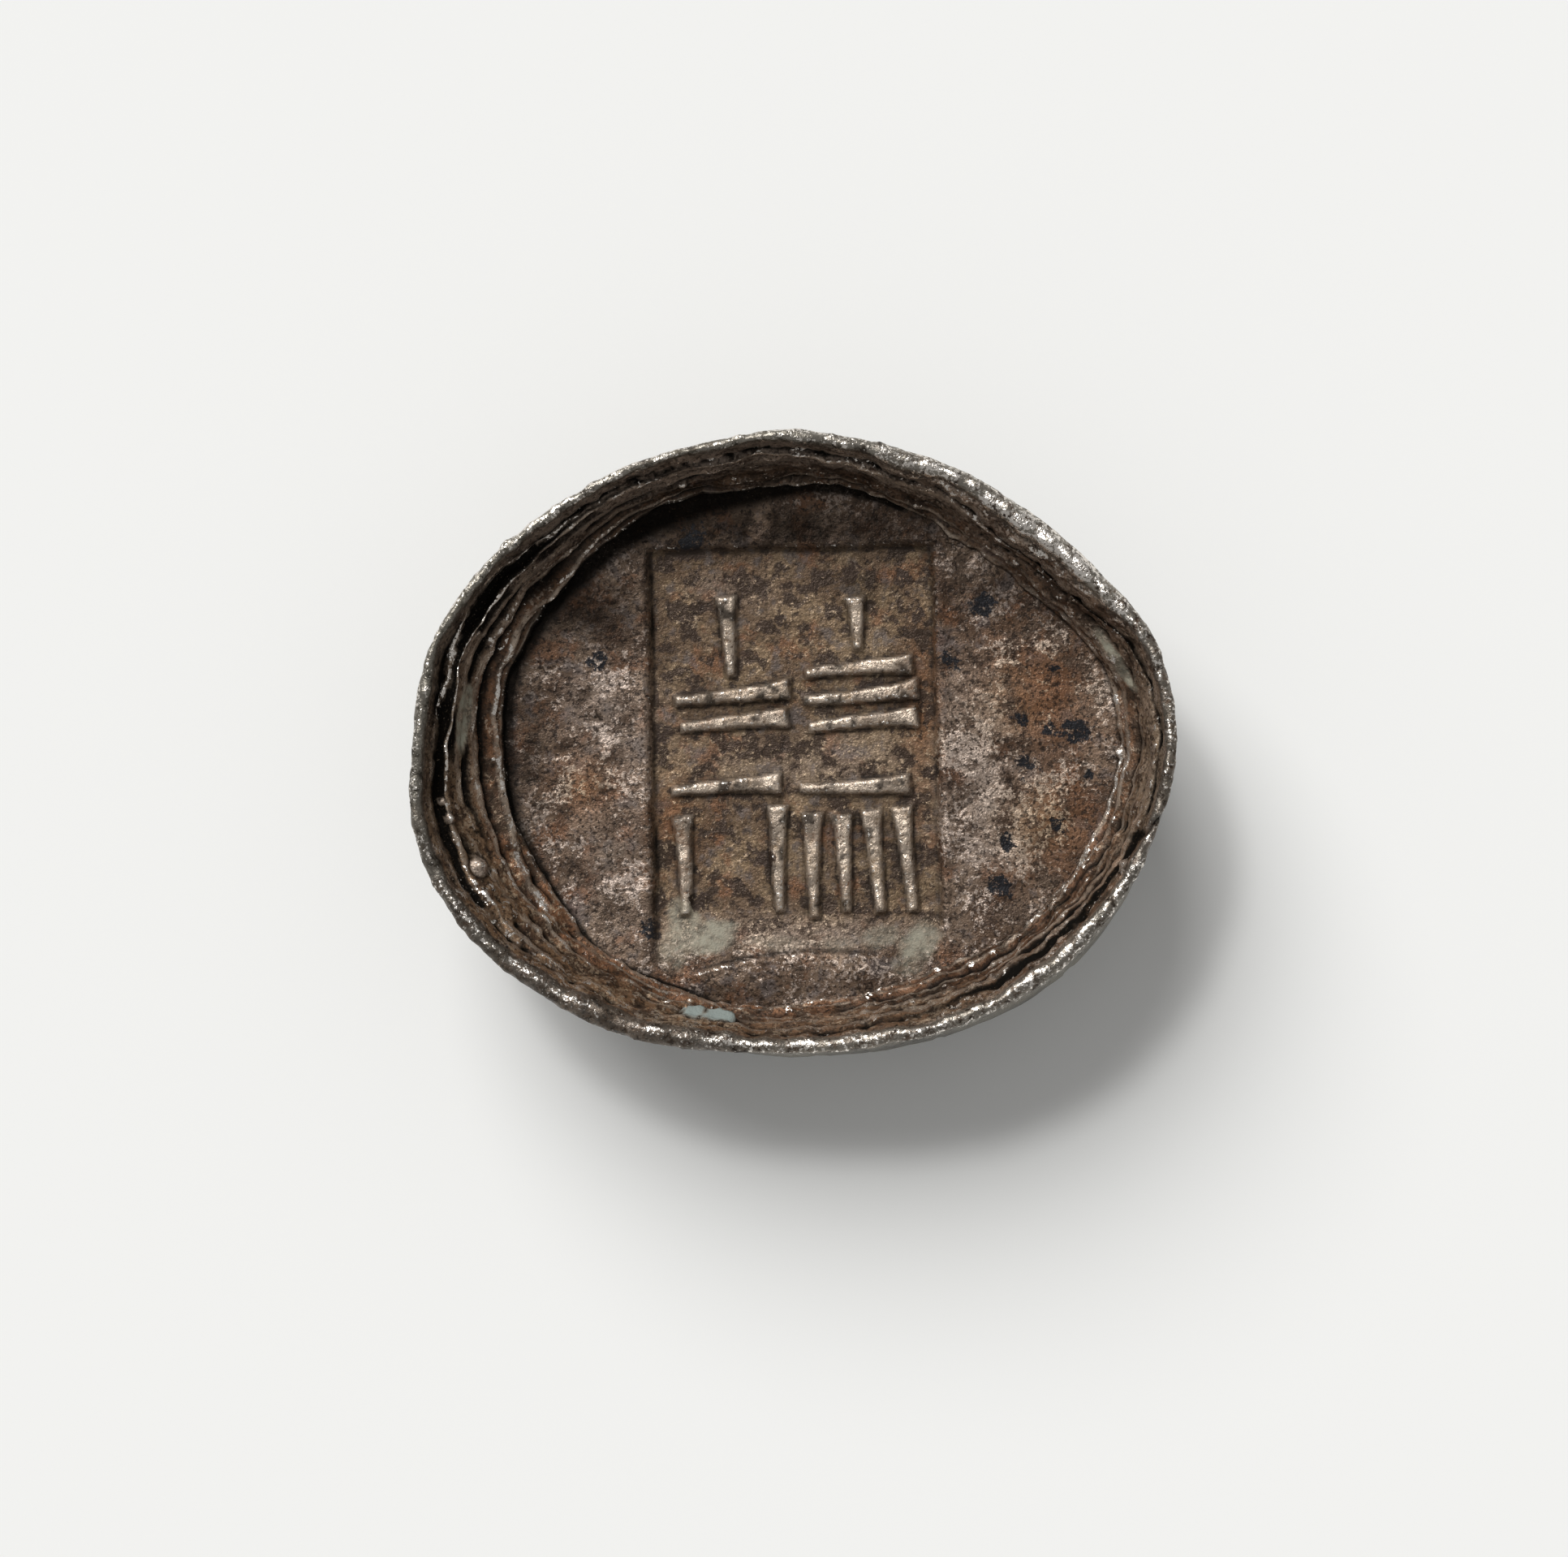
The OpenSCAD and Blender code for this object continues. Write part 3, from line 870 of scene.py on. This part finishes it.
def sootAndShadeMark(at):
    # soot and painted shade: both in hollows, creases and the groove, a painted shadow on the floor
    # at the wall's foot, dark grime along the panel's edges, a dark line along the step, the dark
    # nick and dark specks on the rods
    sootAndShade = smoothStep(0.02, 0.1, -at.fine) * 0.6 + smoothStep(0.04, 0.25, -at.broad) * 0.8
    ragged = 0.5 + 0.6 * layeredNoise(at.plan, 1.6, 131)
    edgeLine = np.exp(-(((at.inside - 0.15) / 0.25) ** 2)) * ragged * at.onFloor * at.panelShare
    side = np.where(at.x < panel["x"] - panel["width"] / 2 + 1, 1.0, 0.3)
    side = np.where(at.y > panel["y"] + panel["length"] / 2 - 1, 0.2, side)
    # painted shade in the wall's creases and groove
    sootAndShade = np.where(at.onFloor & (at.inside > -0.6), sootAndShade * 0.6, sootAndShade + 1.1 * at.crease)
    stepEnds = smoothStep(step["reach"], step["reach"] - 2, np.abs(at.x - step["x"])) * at.onFloor
    sootAndShade = sootAndShade + 0.7 * stepEnds * np.exp(-(((belowStep(at.x, at.y) + 0.15) / 0.14) ** 2))
    sootAndShade = sootAndShade + 0.9 * edgeLine * side
    sootAndShade = sootAndShade * (1 - 0.6 * at.onLip) + 0.8 * at.nicked
    # painted shadow on the floor along the wall's foot, toeShadow millimetres wide
    shadow = at.rim["toeShadow"]
    foot = smoothStep(0.4 + shadow, 0.3 + 0.5 * shadow, toe(at.t) - np.hypot(at.x, at.y))
    sootAndShade = sootAndShade + 0.95 * at.onFloor * foot * (shadow > 0.1)
    return sootAndShade + at.rods * 0.8 * smoothStep(0.35, 0.65, layeredNoise(at.points, 0.8, 135))


def toneMarks(at):
    # lighter tarnish with a paler upper wall that is partly painted light, then darker tarnish with
    # painted shade
    tone = np.zeros(len(at.t))
    for spot in tones:
        tone += spot["tone"] * np.exp(-ovalGap(spot, at.x, at.y))
    tone = tone * smoothStep(1.35, 1.05, at.level)
    darkTarnishAndShade = np.maximum(-tone, 0)
    # the upper wall painted paler, partly painted light
    highWall = smoothStep(1.35, 1.6, at.level) * (at.level < 2)
    tone = np.maximum(tone, highWall * at.rim["wallPaleAndLit"])
    # darker upper and lower wall: painted shade with darker tarnish
    low = smoothStep(1.65, 1.4, at.level)
    wallShadeAndTarnish = (1 - low) * at.rim["shadeAndTarnishHigh"] + low * at.rim["shadeAndTarnishLow"]
    darkTarnishAndShade[at.onWall] = np.maximum(darkTarnishAndShade, wallShadeAndTarnish)[at.onWall]
    lipDusk = at.onLip * at.rim["lipDusk"] * smoothStep(3.15, 2.9, at.level)
    return tone, np.maximum(darkTarnishAndShade, lipDusk)


def paleTopAndSheenMark(at):
    # paler crests of the folds and tops of the rods, partly worn and partly a painted highlight
    worn = 0.45 + 0.55 * smoothStep(-0.3, 0.4, layeredNoise(at.points, 1.8, 129))
    paleTopAndSheen = at.crest * at.rim["wallCrestWearAndSheen"] * (1 - at.crease) * worn
    return paleTopAndSheen + at.rods * (0.45 + 0.5 * smoothStep(-0.4, 0.5, layeredNoise(at.points, 1.3, 133)))


def blotMark(at):
    blot = np.zeros(len(at.t))
    ragged = 0.4 * layeredNoise(at.plan, 1.2, 141)
    for x, y, radius in spots:
        gap = np.hypot(at.x - x, at.y - y) / radius
        blot = np.maximum(blot, smoothStep(1.7, 0.2, gap + ragged))
    return blot * at.onFloor


def paleMark(at):
    pale = np.zeros(len(at.t))
    tatter = 0.8 * layeredNoise(at.plan, 1.8, 153)
    for spot in residue:
        along, across = onPatch(spot, at.x, at.y)
        cover = spot["share"] * smoothStep(1.3, 0.1, along ** 2 + across ** 2 + tatter)
        pale = np.maximum(pale, np.minimum(cover, 1))
    return pale


def warmMark(at):
    warm = at.onWall * at.rim["wallWarm"]
    for spot in warmths:
        warm = np.maximum(warm, at.onFloor * np.exp(-ovalGap(spot, at.x, at.y)))
    return warm


def markWearLightAndShade(piece, t, level):
    # shares of each kind of wear and tarnish, and of painted light and shade, kept on the mesh for
    # the material
    mesh = piece.data
    at = placesOn(mesh, t, level)
    pale = paleMark(at)
    warm = warmMark(at)
    paleTopAndSheen = paleTopAndSheenMark(at)
    tone, darkTarnishAndShade = toneMarks(at)
    sootAndShade = sootAndShadeMark(at) * (1 - pale)
    for bead in beads:
        gap = np.linalg.norm(at.points - beadCentre(bead), axis=1) / bead["radius"]
        face = smoothStep(1.25, 1.05, gap)
        # dark ring round each bead, painted shade where it meets the wall
        sootAndShade = np.maximum(sootAndShade, 0.8 * smoothStep(1.9, 1.4, gap)) * (1 - face)
        paleTopAndSheen = np.maximum(paleTopAndSheen * (1 - face), 0.3 * face)
        tone = np.maximum(tone, face)
        warm = warm * (1 - face)
    along, high, chipGap = onChip(at.points)
    cracked = smoothStep(0.09, 0.03, np.abs(along - chip["crack"] + 0.1 * high))
    chipFace = smoothStep(1.2, 0.9, chipGap) * (1 - cracked) * (level < 2)
    # dark ring round the chip, painted shade where it stands off the wall
    chipRing = smoothStep(4.0, 2.0, chipGap) * (level < 2)
    sootAndShade = np.maximum(sootAndShade, 0.9 * chipRing) * (1 - chipFace)
    greyLip = at.onLip * at.rim["lipGrey"]
    marks = {
        # rubbed silver and painted glints
        "rubAndGlint": np.minimum(rubAndGlintMark(at), 0.6) * (1 - chipFace),
        # soot and painted shade
        "sootAndShade": sootAndShade,
        # darker tarnish and painted shade
        "darkTarnishAndShade": darkTarnishAndShade * (1 - pale),
        # paler tarnish, and a paler upper wall that is partly painted light
        "light": tone,
        "blot": blotMark(at),
        "pale": pale * (level < 2),
        "struck": np.where(at.onWall, 0.3, at.panelShare * at.onFloor),
        # paler crests and rod tops, partly a painted highlight
        "paleTopAndSheen": paleTopAndSheen,
        "warm": warm,
        "lip": at.onLip * at.rim["lipBare"],
        "chip": chipFace,
        "outside": np.maximum(smoothStep(2.92, 3.05, level), greyLip),
    }
    for name, values in marks.items():
        addValue(mesh, name, values)
    print("wear marks: fine", at.fine.min().round(3), at.fine.max().round(3),
          "broad", at.broad.min().round(3), at.broad.max().round(3))


def finishCasting(piece):
    bpy.ops.object.select_all(action="DESELECT")
    piece.select_set(True)
    bpy.context.view_layer.objects.active = piece
    bpy.ops.object.mode_set(mode="EDIT")
    bpy.ops.mesh.select_all(action="SELECT")
    bpy.ops.mesh.normals_make_consistent(inside=False)
    bpy.ops.object.mode_set(mode="OBJECT")
    bpy.ops.object.shade_smooth()


def toMetres(piece):
    writePoints(piece.data, readPoints(piece.data) * mm)


def addNode(tree, kind, x, y, **inputs):
    node = tree.nodes.new(kind)
    node.location = (x, y)
    for name, value in inputs.items():
        node.inputs[name].default_value = value
    return node


def setInput(socket, value):
    # links another socket, or sets a colour or a number
    if isinstance(value, bpy.types.NodeSocket):
        socket.id_data.links.new(value, socket)
    elif isinstance(value, tuple):
        socket.default_value = (*value, 1)
    else:
        socket.default_value = value


def ramp(value, low, high, x, y):
    # 0 at low, 1 at high
    node = addNode(value.id_data, "ShaderNodeMapRange", x, y)
    node.interpolation_type = "SMOOTHSTEP"
    falling = low > high
    node.inputs["From Min"].default_value = high if falling else low
    node.inputs["From Max"].default_value = low if falling else high
    node.inputs["To Min"].default_value = 1 if falling else 0
    node.inputs["To Max"].default_value = 0 if falling else 1
    setInput(node.inputs["Value"], value)
    return node.outputs["Result"]


def maths(operation, a, b, x, y):
    node = addNode(a.id_data, "ShaderNodeMath", x, y)
    node.operation = operation
    node.use_clamp = True
    setInput(node.inputs[0], a)
    setInput(node.inputs[1], b)
    return node.outputs["Value"]


def mix(kind, share, a, b, x, y):
    node = addNode(share.id_data, "ShaderNodeMix", x, y)
    node.data_type = "RGBA" if kind == "Color" else "FLOAT"
    for name, value in (("A_" + kind, a), ("B_" + kind, b), ("Factor_Float", share)):
        setInput(next(s for s in node.inputs if s.identifier == name), value)
    return next(s for s in node.outputs if s.identifier == "Result_" + kind)


def mixColour(share, a, b, x, y):
    return mix("Color", share, a, b, x, y)


def mixValue(share, a, b, x, y):
    return mix("Float", share, a, b, x, y)


silverLook = {
    "umber": (0.092, 0.055, 0.034),
    "taupe": (0.205, 0.143, 0.1),
    "khaki": (0.135, 0.086, 0.05),
    "tan": (0.25, 0.172, 0.1),
    "shade": (0.05, 0.033, 0.024),
    "rust": (0.2, 0.093, 0.046),
    "slate": (0.12, 0.105, 0.103),
    "ash": (0.32, 0.255, 0.21),
    "fleck": (0.56, 0.455, 0.385),
    "pit": (0.026, 0.017, 0.012),
    "black": (0.005, 0.004, 0.003),
    "ink": (0.016, 0.016, 0.018),
    "residue": (0.36, 0.345, 0.27),
    "chip": (0.26, 0.295, 0.275),
    "paleTopAndSheen": (0.56, 0.46, 0.365),
    "metal": (0.42, 0.385, 0.33),
    "iron": (0.085, 0.08, 0.066),
    "dull": (0.27, 0.25, 0.205),
    "gilt": (0.46, 0.34, 0.23),
    "silver": (0.86, 0.8, 0.73),
    "grey": (0.18, 0.17, 0.135),
}


def makeTarnishedSilver():
    material = bpy.data.materials.new("tarnishedSilver")
    material.use_nodes = True
    tree = material.node_tree
    tree.nodes.clear()
    look = silverLook
    output = addNode(tree, "ShaderNodeOutputMaterial", 2200, 0)
    surface = addNode(tree, "ShaderNodeBsdfPrincipled", 1900, 0)
    tree.links.new(surface.outputs["BSDF"], output.inputs["Surface"])
    where = addNode(tree, "ShaderNodeTexCoord", -1600, 0)
    inMm = addNode(tree, "ShaderNodeMapping", -1400, 0, Scale=(1 / mm, 1 / mm, 1 / mm))
    tree.links.new(where.outputs["Object"], inMm.inputs["Vector"])

    def noise(size, detail, roughness, shift, y):
        moved = addNode(tree, "ShaderNodeMapping", -1200, y, Location=(shift, shift, shift))
        tree.links.new(inMm.outputs["Vector"], moved.inputs["Vector"])
        node = addNode(tree, "ShaderNodeTexNoise", -1000, y,
                       Scale=1 / size, Detail=detail, Roughness=roughness)
        tree.links.new(moved.outputs["Vector"], node.inputs["Vector"])
        return node.outputs["Fac"]

    def value(name, y):
        node = addNode(tree, "ShaderNodeAttribute", -1000, y)
        node.attribute_name = name
        return node.outputs["Fac"]

    def times(a, b, x, y):
        return maths("MULTIPLY", a, b, x, y)

    def specks(share, pattern, x, y):
        # crisp specks that cover more of the surface as share rises
        total = maths("ADD", pattern, times(share, 0.5, x, y), x + 150, y)
        return ramp(total, 0.68, 0.78, x + 300, y)

    rubAndGlint = value("rubAndGlint", 1300)
    sootAndShade = value("sootAndShade", 1150)
    darkTarnishAndShade = value("darkTarnishAndShade", 1000)
    light = value("light", 850)
    blot = value("blot", 700)
    pale = value("pale", 550)
    struck = value("struck", 400)
    outside = value("outside", 250)
    chipped = value("chip", 1450)
    paleTopAndSheen = value("paleTopAndSheen", 1600)
    warm = value("warm", 1750)
    lip = value("lip", 1900)

    broad = noise(6.0, 5.0, 0.65, 0.0, 100)
    patches = noise(3.0, 4.0, 0.65, 40.0, -100)
    stains = noise(1.8, 4.0, 0.65, 80.0, -300)
    pits = noise(0.55, 3.0, 0.65, 200.0, -400)
    grain = noise(0.32, 3.0, 0.7, 120.0, -500)
    dust = noise(0.15, 2.0, 0.6, 160.0, -700)
    clouds = noise(2.4, 4.0, 0.6, 240.0, -900)
    grit = noise(0.26, 2.0, 0.6, 280.0, -1200)
    sparks = noise(0.24, 2.0, 0.6, 320.0, -1400)

    # brown tarnish in patches, khaki in the panel
    colour = mixColour(ramp(broad, 0.38, 0.62, -700, 100), look["umber"], look["taupe"], -400, 100)
    khaki = mixColour(ramp(clouds, 0.42, 0.62, -700, 300), look["khaki"], look["tan"], -400, 300)
    colour = mixColour(times(struck, 0.8, -550, 400), colour, khaki, -250, 100)
    rusty = times(ramp(patches, 0.52, 0.64, -700, -100), 0.7, -550, -100)
    ruddy = times(warm, ramp(stains, 0.34, 0.54, -700, 1750), -550, 1750)
    rusty = maths("MAXIMUM", rusty, times(ruddy, 0.85, -400, 1750), -250, -100)
    colour = mixColour(rusty, colour, look["rust"], -100, 100)
    slaty = times(ramp(stains, 0.54, 0.66, -700, -300),
                  mixValue(warm, 0.6, 0.15, -700, -200), -550, -300)
    colour = mixColour(slaty, colour, look["slate"], 50, 100)
    # paler tarnish, and the upper wall painted paler as painted light
    paledAndLit = times(light, ramp(stains, 0.35, 0.55, -700, 850), -550, 850)
    paleAndLitColour = mixColour(warm, look["ash"], look["tan"], 50, 200)
    colour = mixColour(paledAndLit, colour, paleAndLitColour, 200, 100)
    mottled = times(ramp(stains, 0.51, 0.43, -700, -1000),
                    mixValue(struck, 0.5, 0.9, -700, -1100), -550, -1000)
    colour = mixColour(mottled, colour, look["shade"], 275, 100)
    # bright flecks and dark pits
    bunched = times(ramp(clouds, 0.46, 0.6, -1000, -450),
                    mixValue(struck, 0.3, 0.1, -1000, -350), -850, -350)
    often = maths("ADD", bunched, mixValue(light, 0.14, 0.38, -1000, -250), -700, -350)
    hidden = maths("MAXIMUM", darkTarnishAndShade, outside, -550, -400)
    flecked = times(specks(often, grain, -700, -500),
                    mixValue(hidden, 0.75, 0.0, -400, -400), -250, -500)
    gilded = maths("MAXIMUM", struck, warm, 50, -100)
    fleck = mixColour(gilded, look["fleck"], look["gilt"], 200, -100)
    colour = mixColour(flecked, colour, fleck, 350, 100)
    pitted = times(ramp(pits, 0.43, 0.36, -700, -620), 0.85, -550, -620)
    pitted = times(pitted, ramp(clouds, 0.62, 0.42, -550, -720), -400, -620)
    colour = mixColour(pitted, colour, look["pit"], 500, 100)
    gritty = times(ramp(grit, 0.48, 0.36, -700, -1200),
                   mixValue(struck, 0.8, 0.45, -700, -1300), -550, -1200)
    colour = mixColour(gritty, colour, look["pit"], 575, 100)
    # grey outer skin, then the metal of the lip
    grey = mixColour(ramp(broad, 0.4, 0.6, -400, 500), look["iron"], look["grey"], 350, 500)
    dull = times(ramp(stains, 0.53, 0.68, -400, 600), 0.6, 350, 600)
    grey = mixColour(dull, grey, look["dull"], 500, 500)
    grey = mixColour(times(pitted, 0.7, 500, 600), grey, look["pit"], 575, 500)
    colour = mixColour(times(outside, 0.9, -550, 250), colour, grey, 650, 100)
    bare = times(lip, ramp(pits, 0.36, 0.56, -700, 1900), -550, 1900)
    colour = mixColour(bare, colour, look["metal"], 725, 100)
    # darker tarnish with painted shade, paler crests partly painted as sheen, residue, black spots,
    # soot with painted shade, rubbed silver with painted glints and the chip, one over the other
    shadedAndTarnished = times(darkTarnishAndShade, ramp(patches, 0.25, 0.5, -700, 1000), -550, 1000)
    shadedAndTarnished = times(shadedAndTarnished, 0.85, -400, 1000)
    colour = mixColour(shadedAndTarnished, colour, look["black"], 800, 100)
    # paler crests and rod tops, partly a painted highlight
    raisedAndSheen = times(paleTopAndSheen, ramp(grain, 0.3, 0.5, -700, 1600), -550, 1600)
    colour = mixColour(raisedAndSheen, colour, look["paleTopAndSheen"], 875, 100)
    chalk = mixValue(ramp(stains, 0.38, 0.58, -700, 550), 0.35, 1.0, -550, 450)
    chalk = times(pale, chalk, -400, 550)
    colour = mixColour(chalk, colour, look["residue"], 950, 100)
    blotted = times(specks(times(blot, 0.82, -850, 700), pits, -700, 700),
                    ramp(grain, 0.66, 0.54, -400, 800), -250, 700)
    blotColour = mixColour(struck, look["ink"], look["shade"], 950, 250)
    colour = mixColour(blotted, colour, blotColour, 1100, 100)
    # soot and painted shade go black
    sootyAndShaded = times(sootAndShade, ramp(dust, 0.1, 0.4, -700, 1150), -550, 1150)
    colour = mixColour(sootyAndShaded, colour, look["black"], 1250, 100)
    # rubbed silver and painted glints
    shine = times(specks(rubAndGlint, sparks, -700, 1300), ramp(rubAndGlint, 0.03, 0.15, -700, 1400), -250, 1300)
    colour = mixColour(shine, colour, look["silver"], 1400, 100)
    colour = mixColour(chipped, colour, look["chip"], 1550, 100)
    tree.links.new(colour, surface.inputs["Base Color"])

    # gloss, metal and roughness go with what lies on top
    gleam = times(raisedAndSheen, mixValue(struck, 1.0, 0.5, -550, 1500), -400, 1500)
    stony = maths("MAXIMUM", chalk, chipped, 1250, -100)
    gloss = maths("MAXIMUM", sootyAndShaded, shadedAndTarnished, 1100, -200)
    gloss = mixValue(gloss, mixValue(warm, 0.3, 0.12, 1100, -100), 0.04, 1250, -200)
    tree.links.new(gloss, surface.inputs["Specular IOR Level"])
    metallic = 0.5
    roughness = mixValue(ramp(stains, 0.3, 0.7, -700, -800), 0.34, 0.5, 950, -500)
    layers = (
        (flecked, 0.65, 0.36),
        (bare, 0.9, 0.24),
        (gleam, 0.85, 0.27),
        (sootyAndShaded, 0.1, 0.65),
        (stony, 0.1, 0.7),
        (shine, 1.0, 0.22),
    )
    for i, (share, metal, rough) in enumerate(layers):
        metallic = mixValue(share, metallic, metal, 1050 + 100 * i, -300)
        roughness = mixValue(share, roughness, rough, 1050 + 100 * i, -500)
    tree.links.new(metallic, surface.inputs["Metallic"])
    tree.links.new(roughness, surface.inputs["Roughness"])

    # three sizes of bumps, each over the last
    below = None
    bumps = ((pits, 0.7, 0.1, 1400), (grain, 0.8, 0.09, 1550), (dust, 0.7, 0.04, 1700))
    for pattern, strength, height, x in bumps:
        bump = addNode(tree, "ShaderNodeBump", x, -750, Strength=strength, Distance=height * mm)
        tree.links.new(pattern, bump.inputs["Height"])
        if below:
            tree.links.new(below, bump.inputs["Normal"])
        below = bump.outputs["Normal"]
    tree.links.new(below, surface.inputs["Normal"])
    return material


def makeCasting():
    piece = makeStartMesh()
    t, level = shapeCasting(piece)
    finishCasting(piece)
    roughenCasting(piece, t, level)
    markWearLightAndShade(piece, t, level)
    toMetres(piece)
    piece.data.materials.append(makeTarnishedSilver())
    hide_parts(castingNode)
    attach(piece, "root")
    print("casting:", len(piece.data.vertices), "corners,", len(piece.data.polygons), "faces")
    return piece


studio = {
    "floorSize": 2.0,
    "floorColour": (0.95, 0.95, 0.93),
    "floorRoughness": 0.8,
    "floorGloss": 0.2,
    "worldColour": (1.0, 1.0, 1.0),
    "worldStrength": 0.31,
}

# one broad light from the far left and one narrow light above it
suns = [
    {"name": "keyLight", "strength": 2.25, "angle": 40.0, "from": (-0.42, 0.75, 0.82)},
    {"name": "sparkLight", "strength": 0.5, "angle": 8.0, "from": (-0.35, 0.55, 1.0)},
]


def makeFloor():
    bpy.ops.object.select_all(action="DESELECT")
    bpy.ops.mesh.primitive_plane_add(size=studio["floorSize"])
    floor = bpy.context.object
    floor.name = "studioFloor"
    material = bpy.data.materials.new("paleFloor")
    material.use_nodes = True
    surface = material.node_tree.nodes["Principled BSDF"]
    surface.inputs["Base Color"].default_value = (*studio["floorColour"], 1)
    surface.inputs["Roughness"].default_value = studio["floorRoughness"]
    surface.inputs["Specular IOR Level"].default_value = studio["floorGloss"]
    floor.data.materials.append(material)


def makeLight():
    world = bpy.data.worlds.new("softRoom")
    world.use_nodes = True
    sky = world.node_tree.nodes["Background"]
    sky.inputs["Color"].default_value = (*studio["worldColour"], 1)
    sky.inputs["Strength"].default_value = studio["worldStrength"]
    bpy.context.scene.world = world
    for light in suns:
        bpy.ops.object.light_add(type="SUN")
        sun = bpy.context.object
        sun.name = light["name"]
        sun.data.energy = light["strength"]
        sun.data.angle = math.radians(light["angle"])
        sun.rotation_mode = "QUATERNION"
        sun.rotation_quaternion = Vector(light["from"]).to_track_quat("Z", "Y")


# aim is the point at rim height in the middle of the picture, from the ingot's own centre
shot = {
    "aimX": -0.48,
    "aimY": -2.25,
    "frameWidth": 102.2,
    "lens": 100.0,
    "sensor": 36.0,
    "near": 0.01,
    "far": 10.0,
    "tilt": 2.6,
    "lean": -45.0,
}


def makeCamera():
    bpy.ops.object.camera_add()
    camera = bpy.context.object
    camera.name = "photoCamera"
    camera.data.lens = shot["lens"]
    camera.data.sensor_width = shot["sensor"]
    away = shot["frameWidth"] / shot["sensor"] * shot["lens"] * mm
    tilt, lean = math.radians(shot["tilt"]), math.radians(shot["lean"])
    back = Vector((
        math.sin(tilt) * math.cos(lean), math.sin(tilt) * math.sin(lean), math.cos(tilt)))
    aim = Vector((shot["aimX"] * mm, shot["aimY"] * mm, nodeHigh.z))
    camera.location = aim + back * away
    camera.rotation_mode = "QUATERNION"
    right = Vector((0, 1, 0)).cross(back).normalized()
    turn = Matrix((right, back.cross(right), back)).transposed()
    camera.rotation_quaternion = turn.to_quaternion()
    camera.data.clip_start = shot["near"]
    camera.data.clip_end = shot["far"]
    bpy.context.scene.camera = camera


bpy.context.scene.view_settings.view_transform = "Standard"
makeCamera()
print("camera set")
makeCasting()
makeFloor()
makeLight()
print("floor and light set")
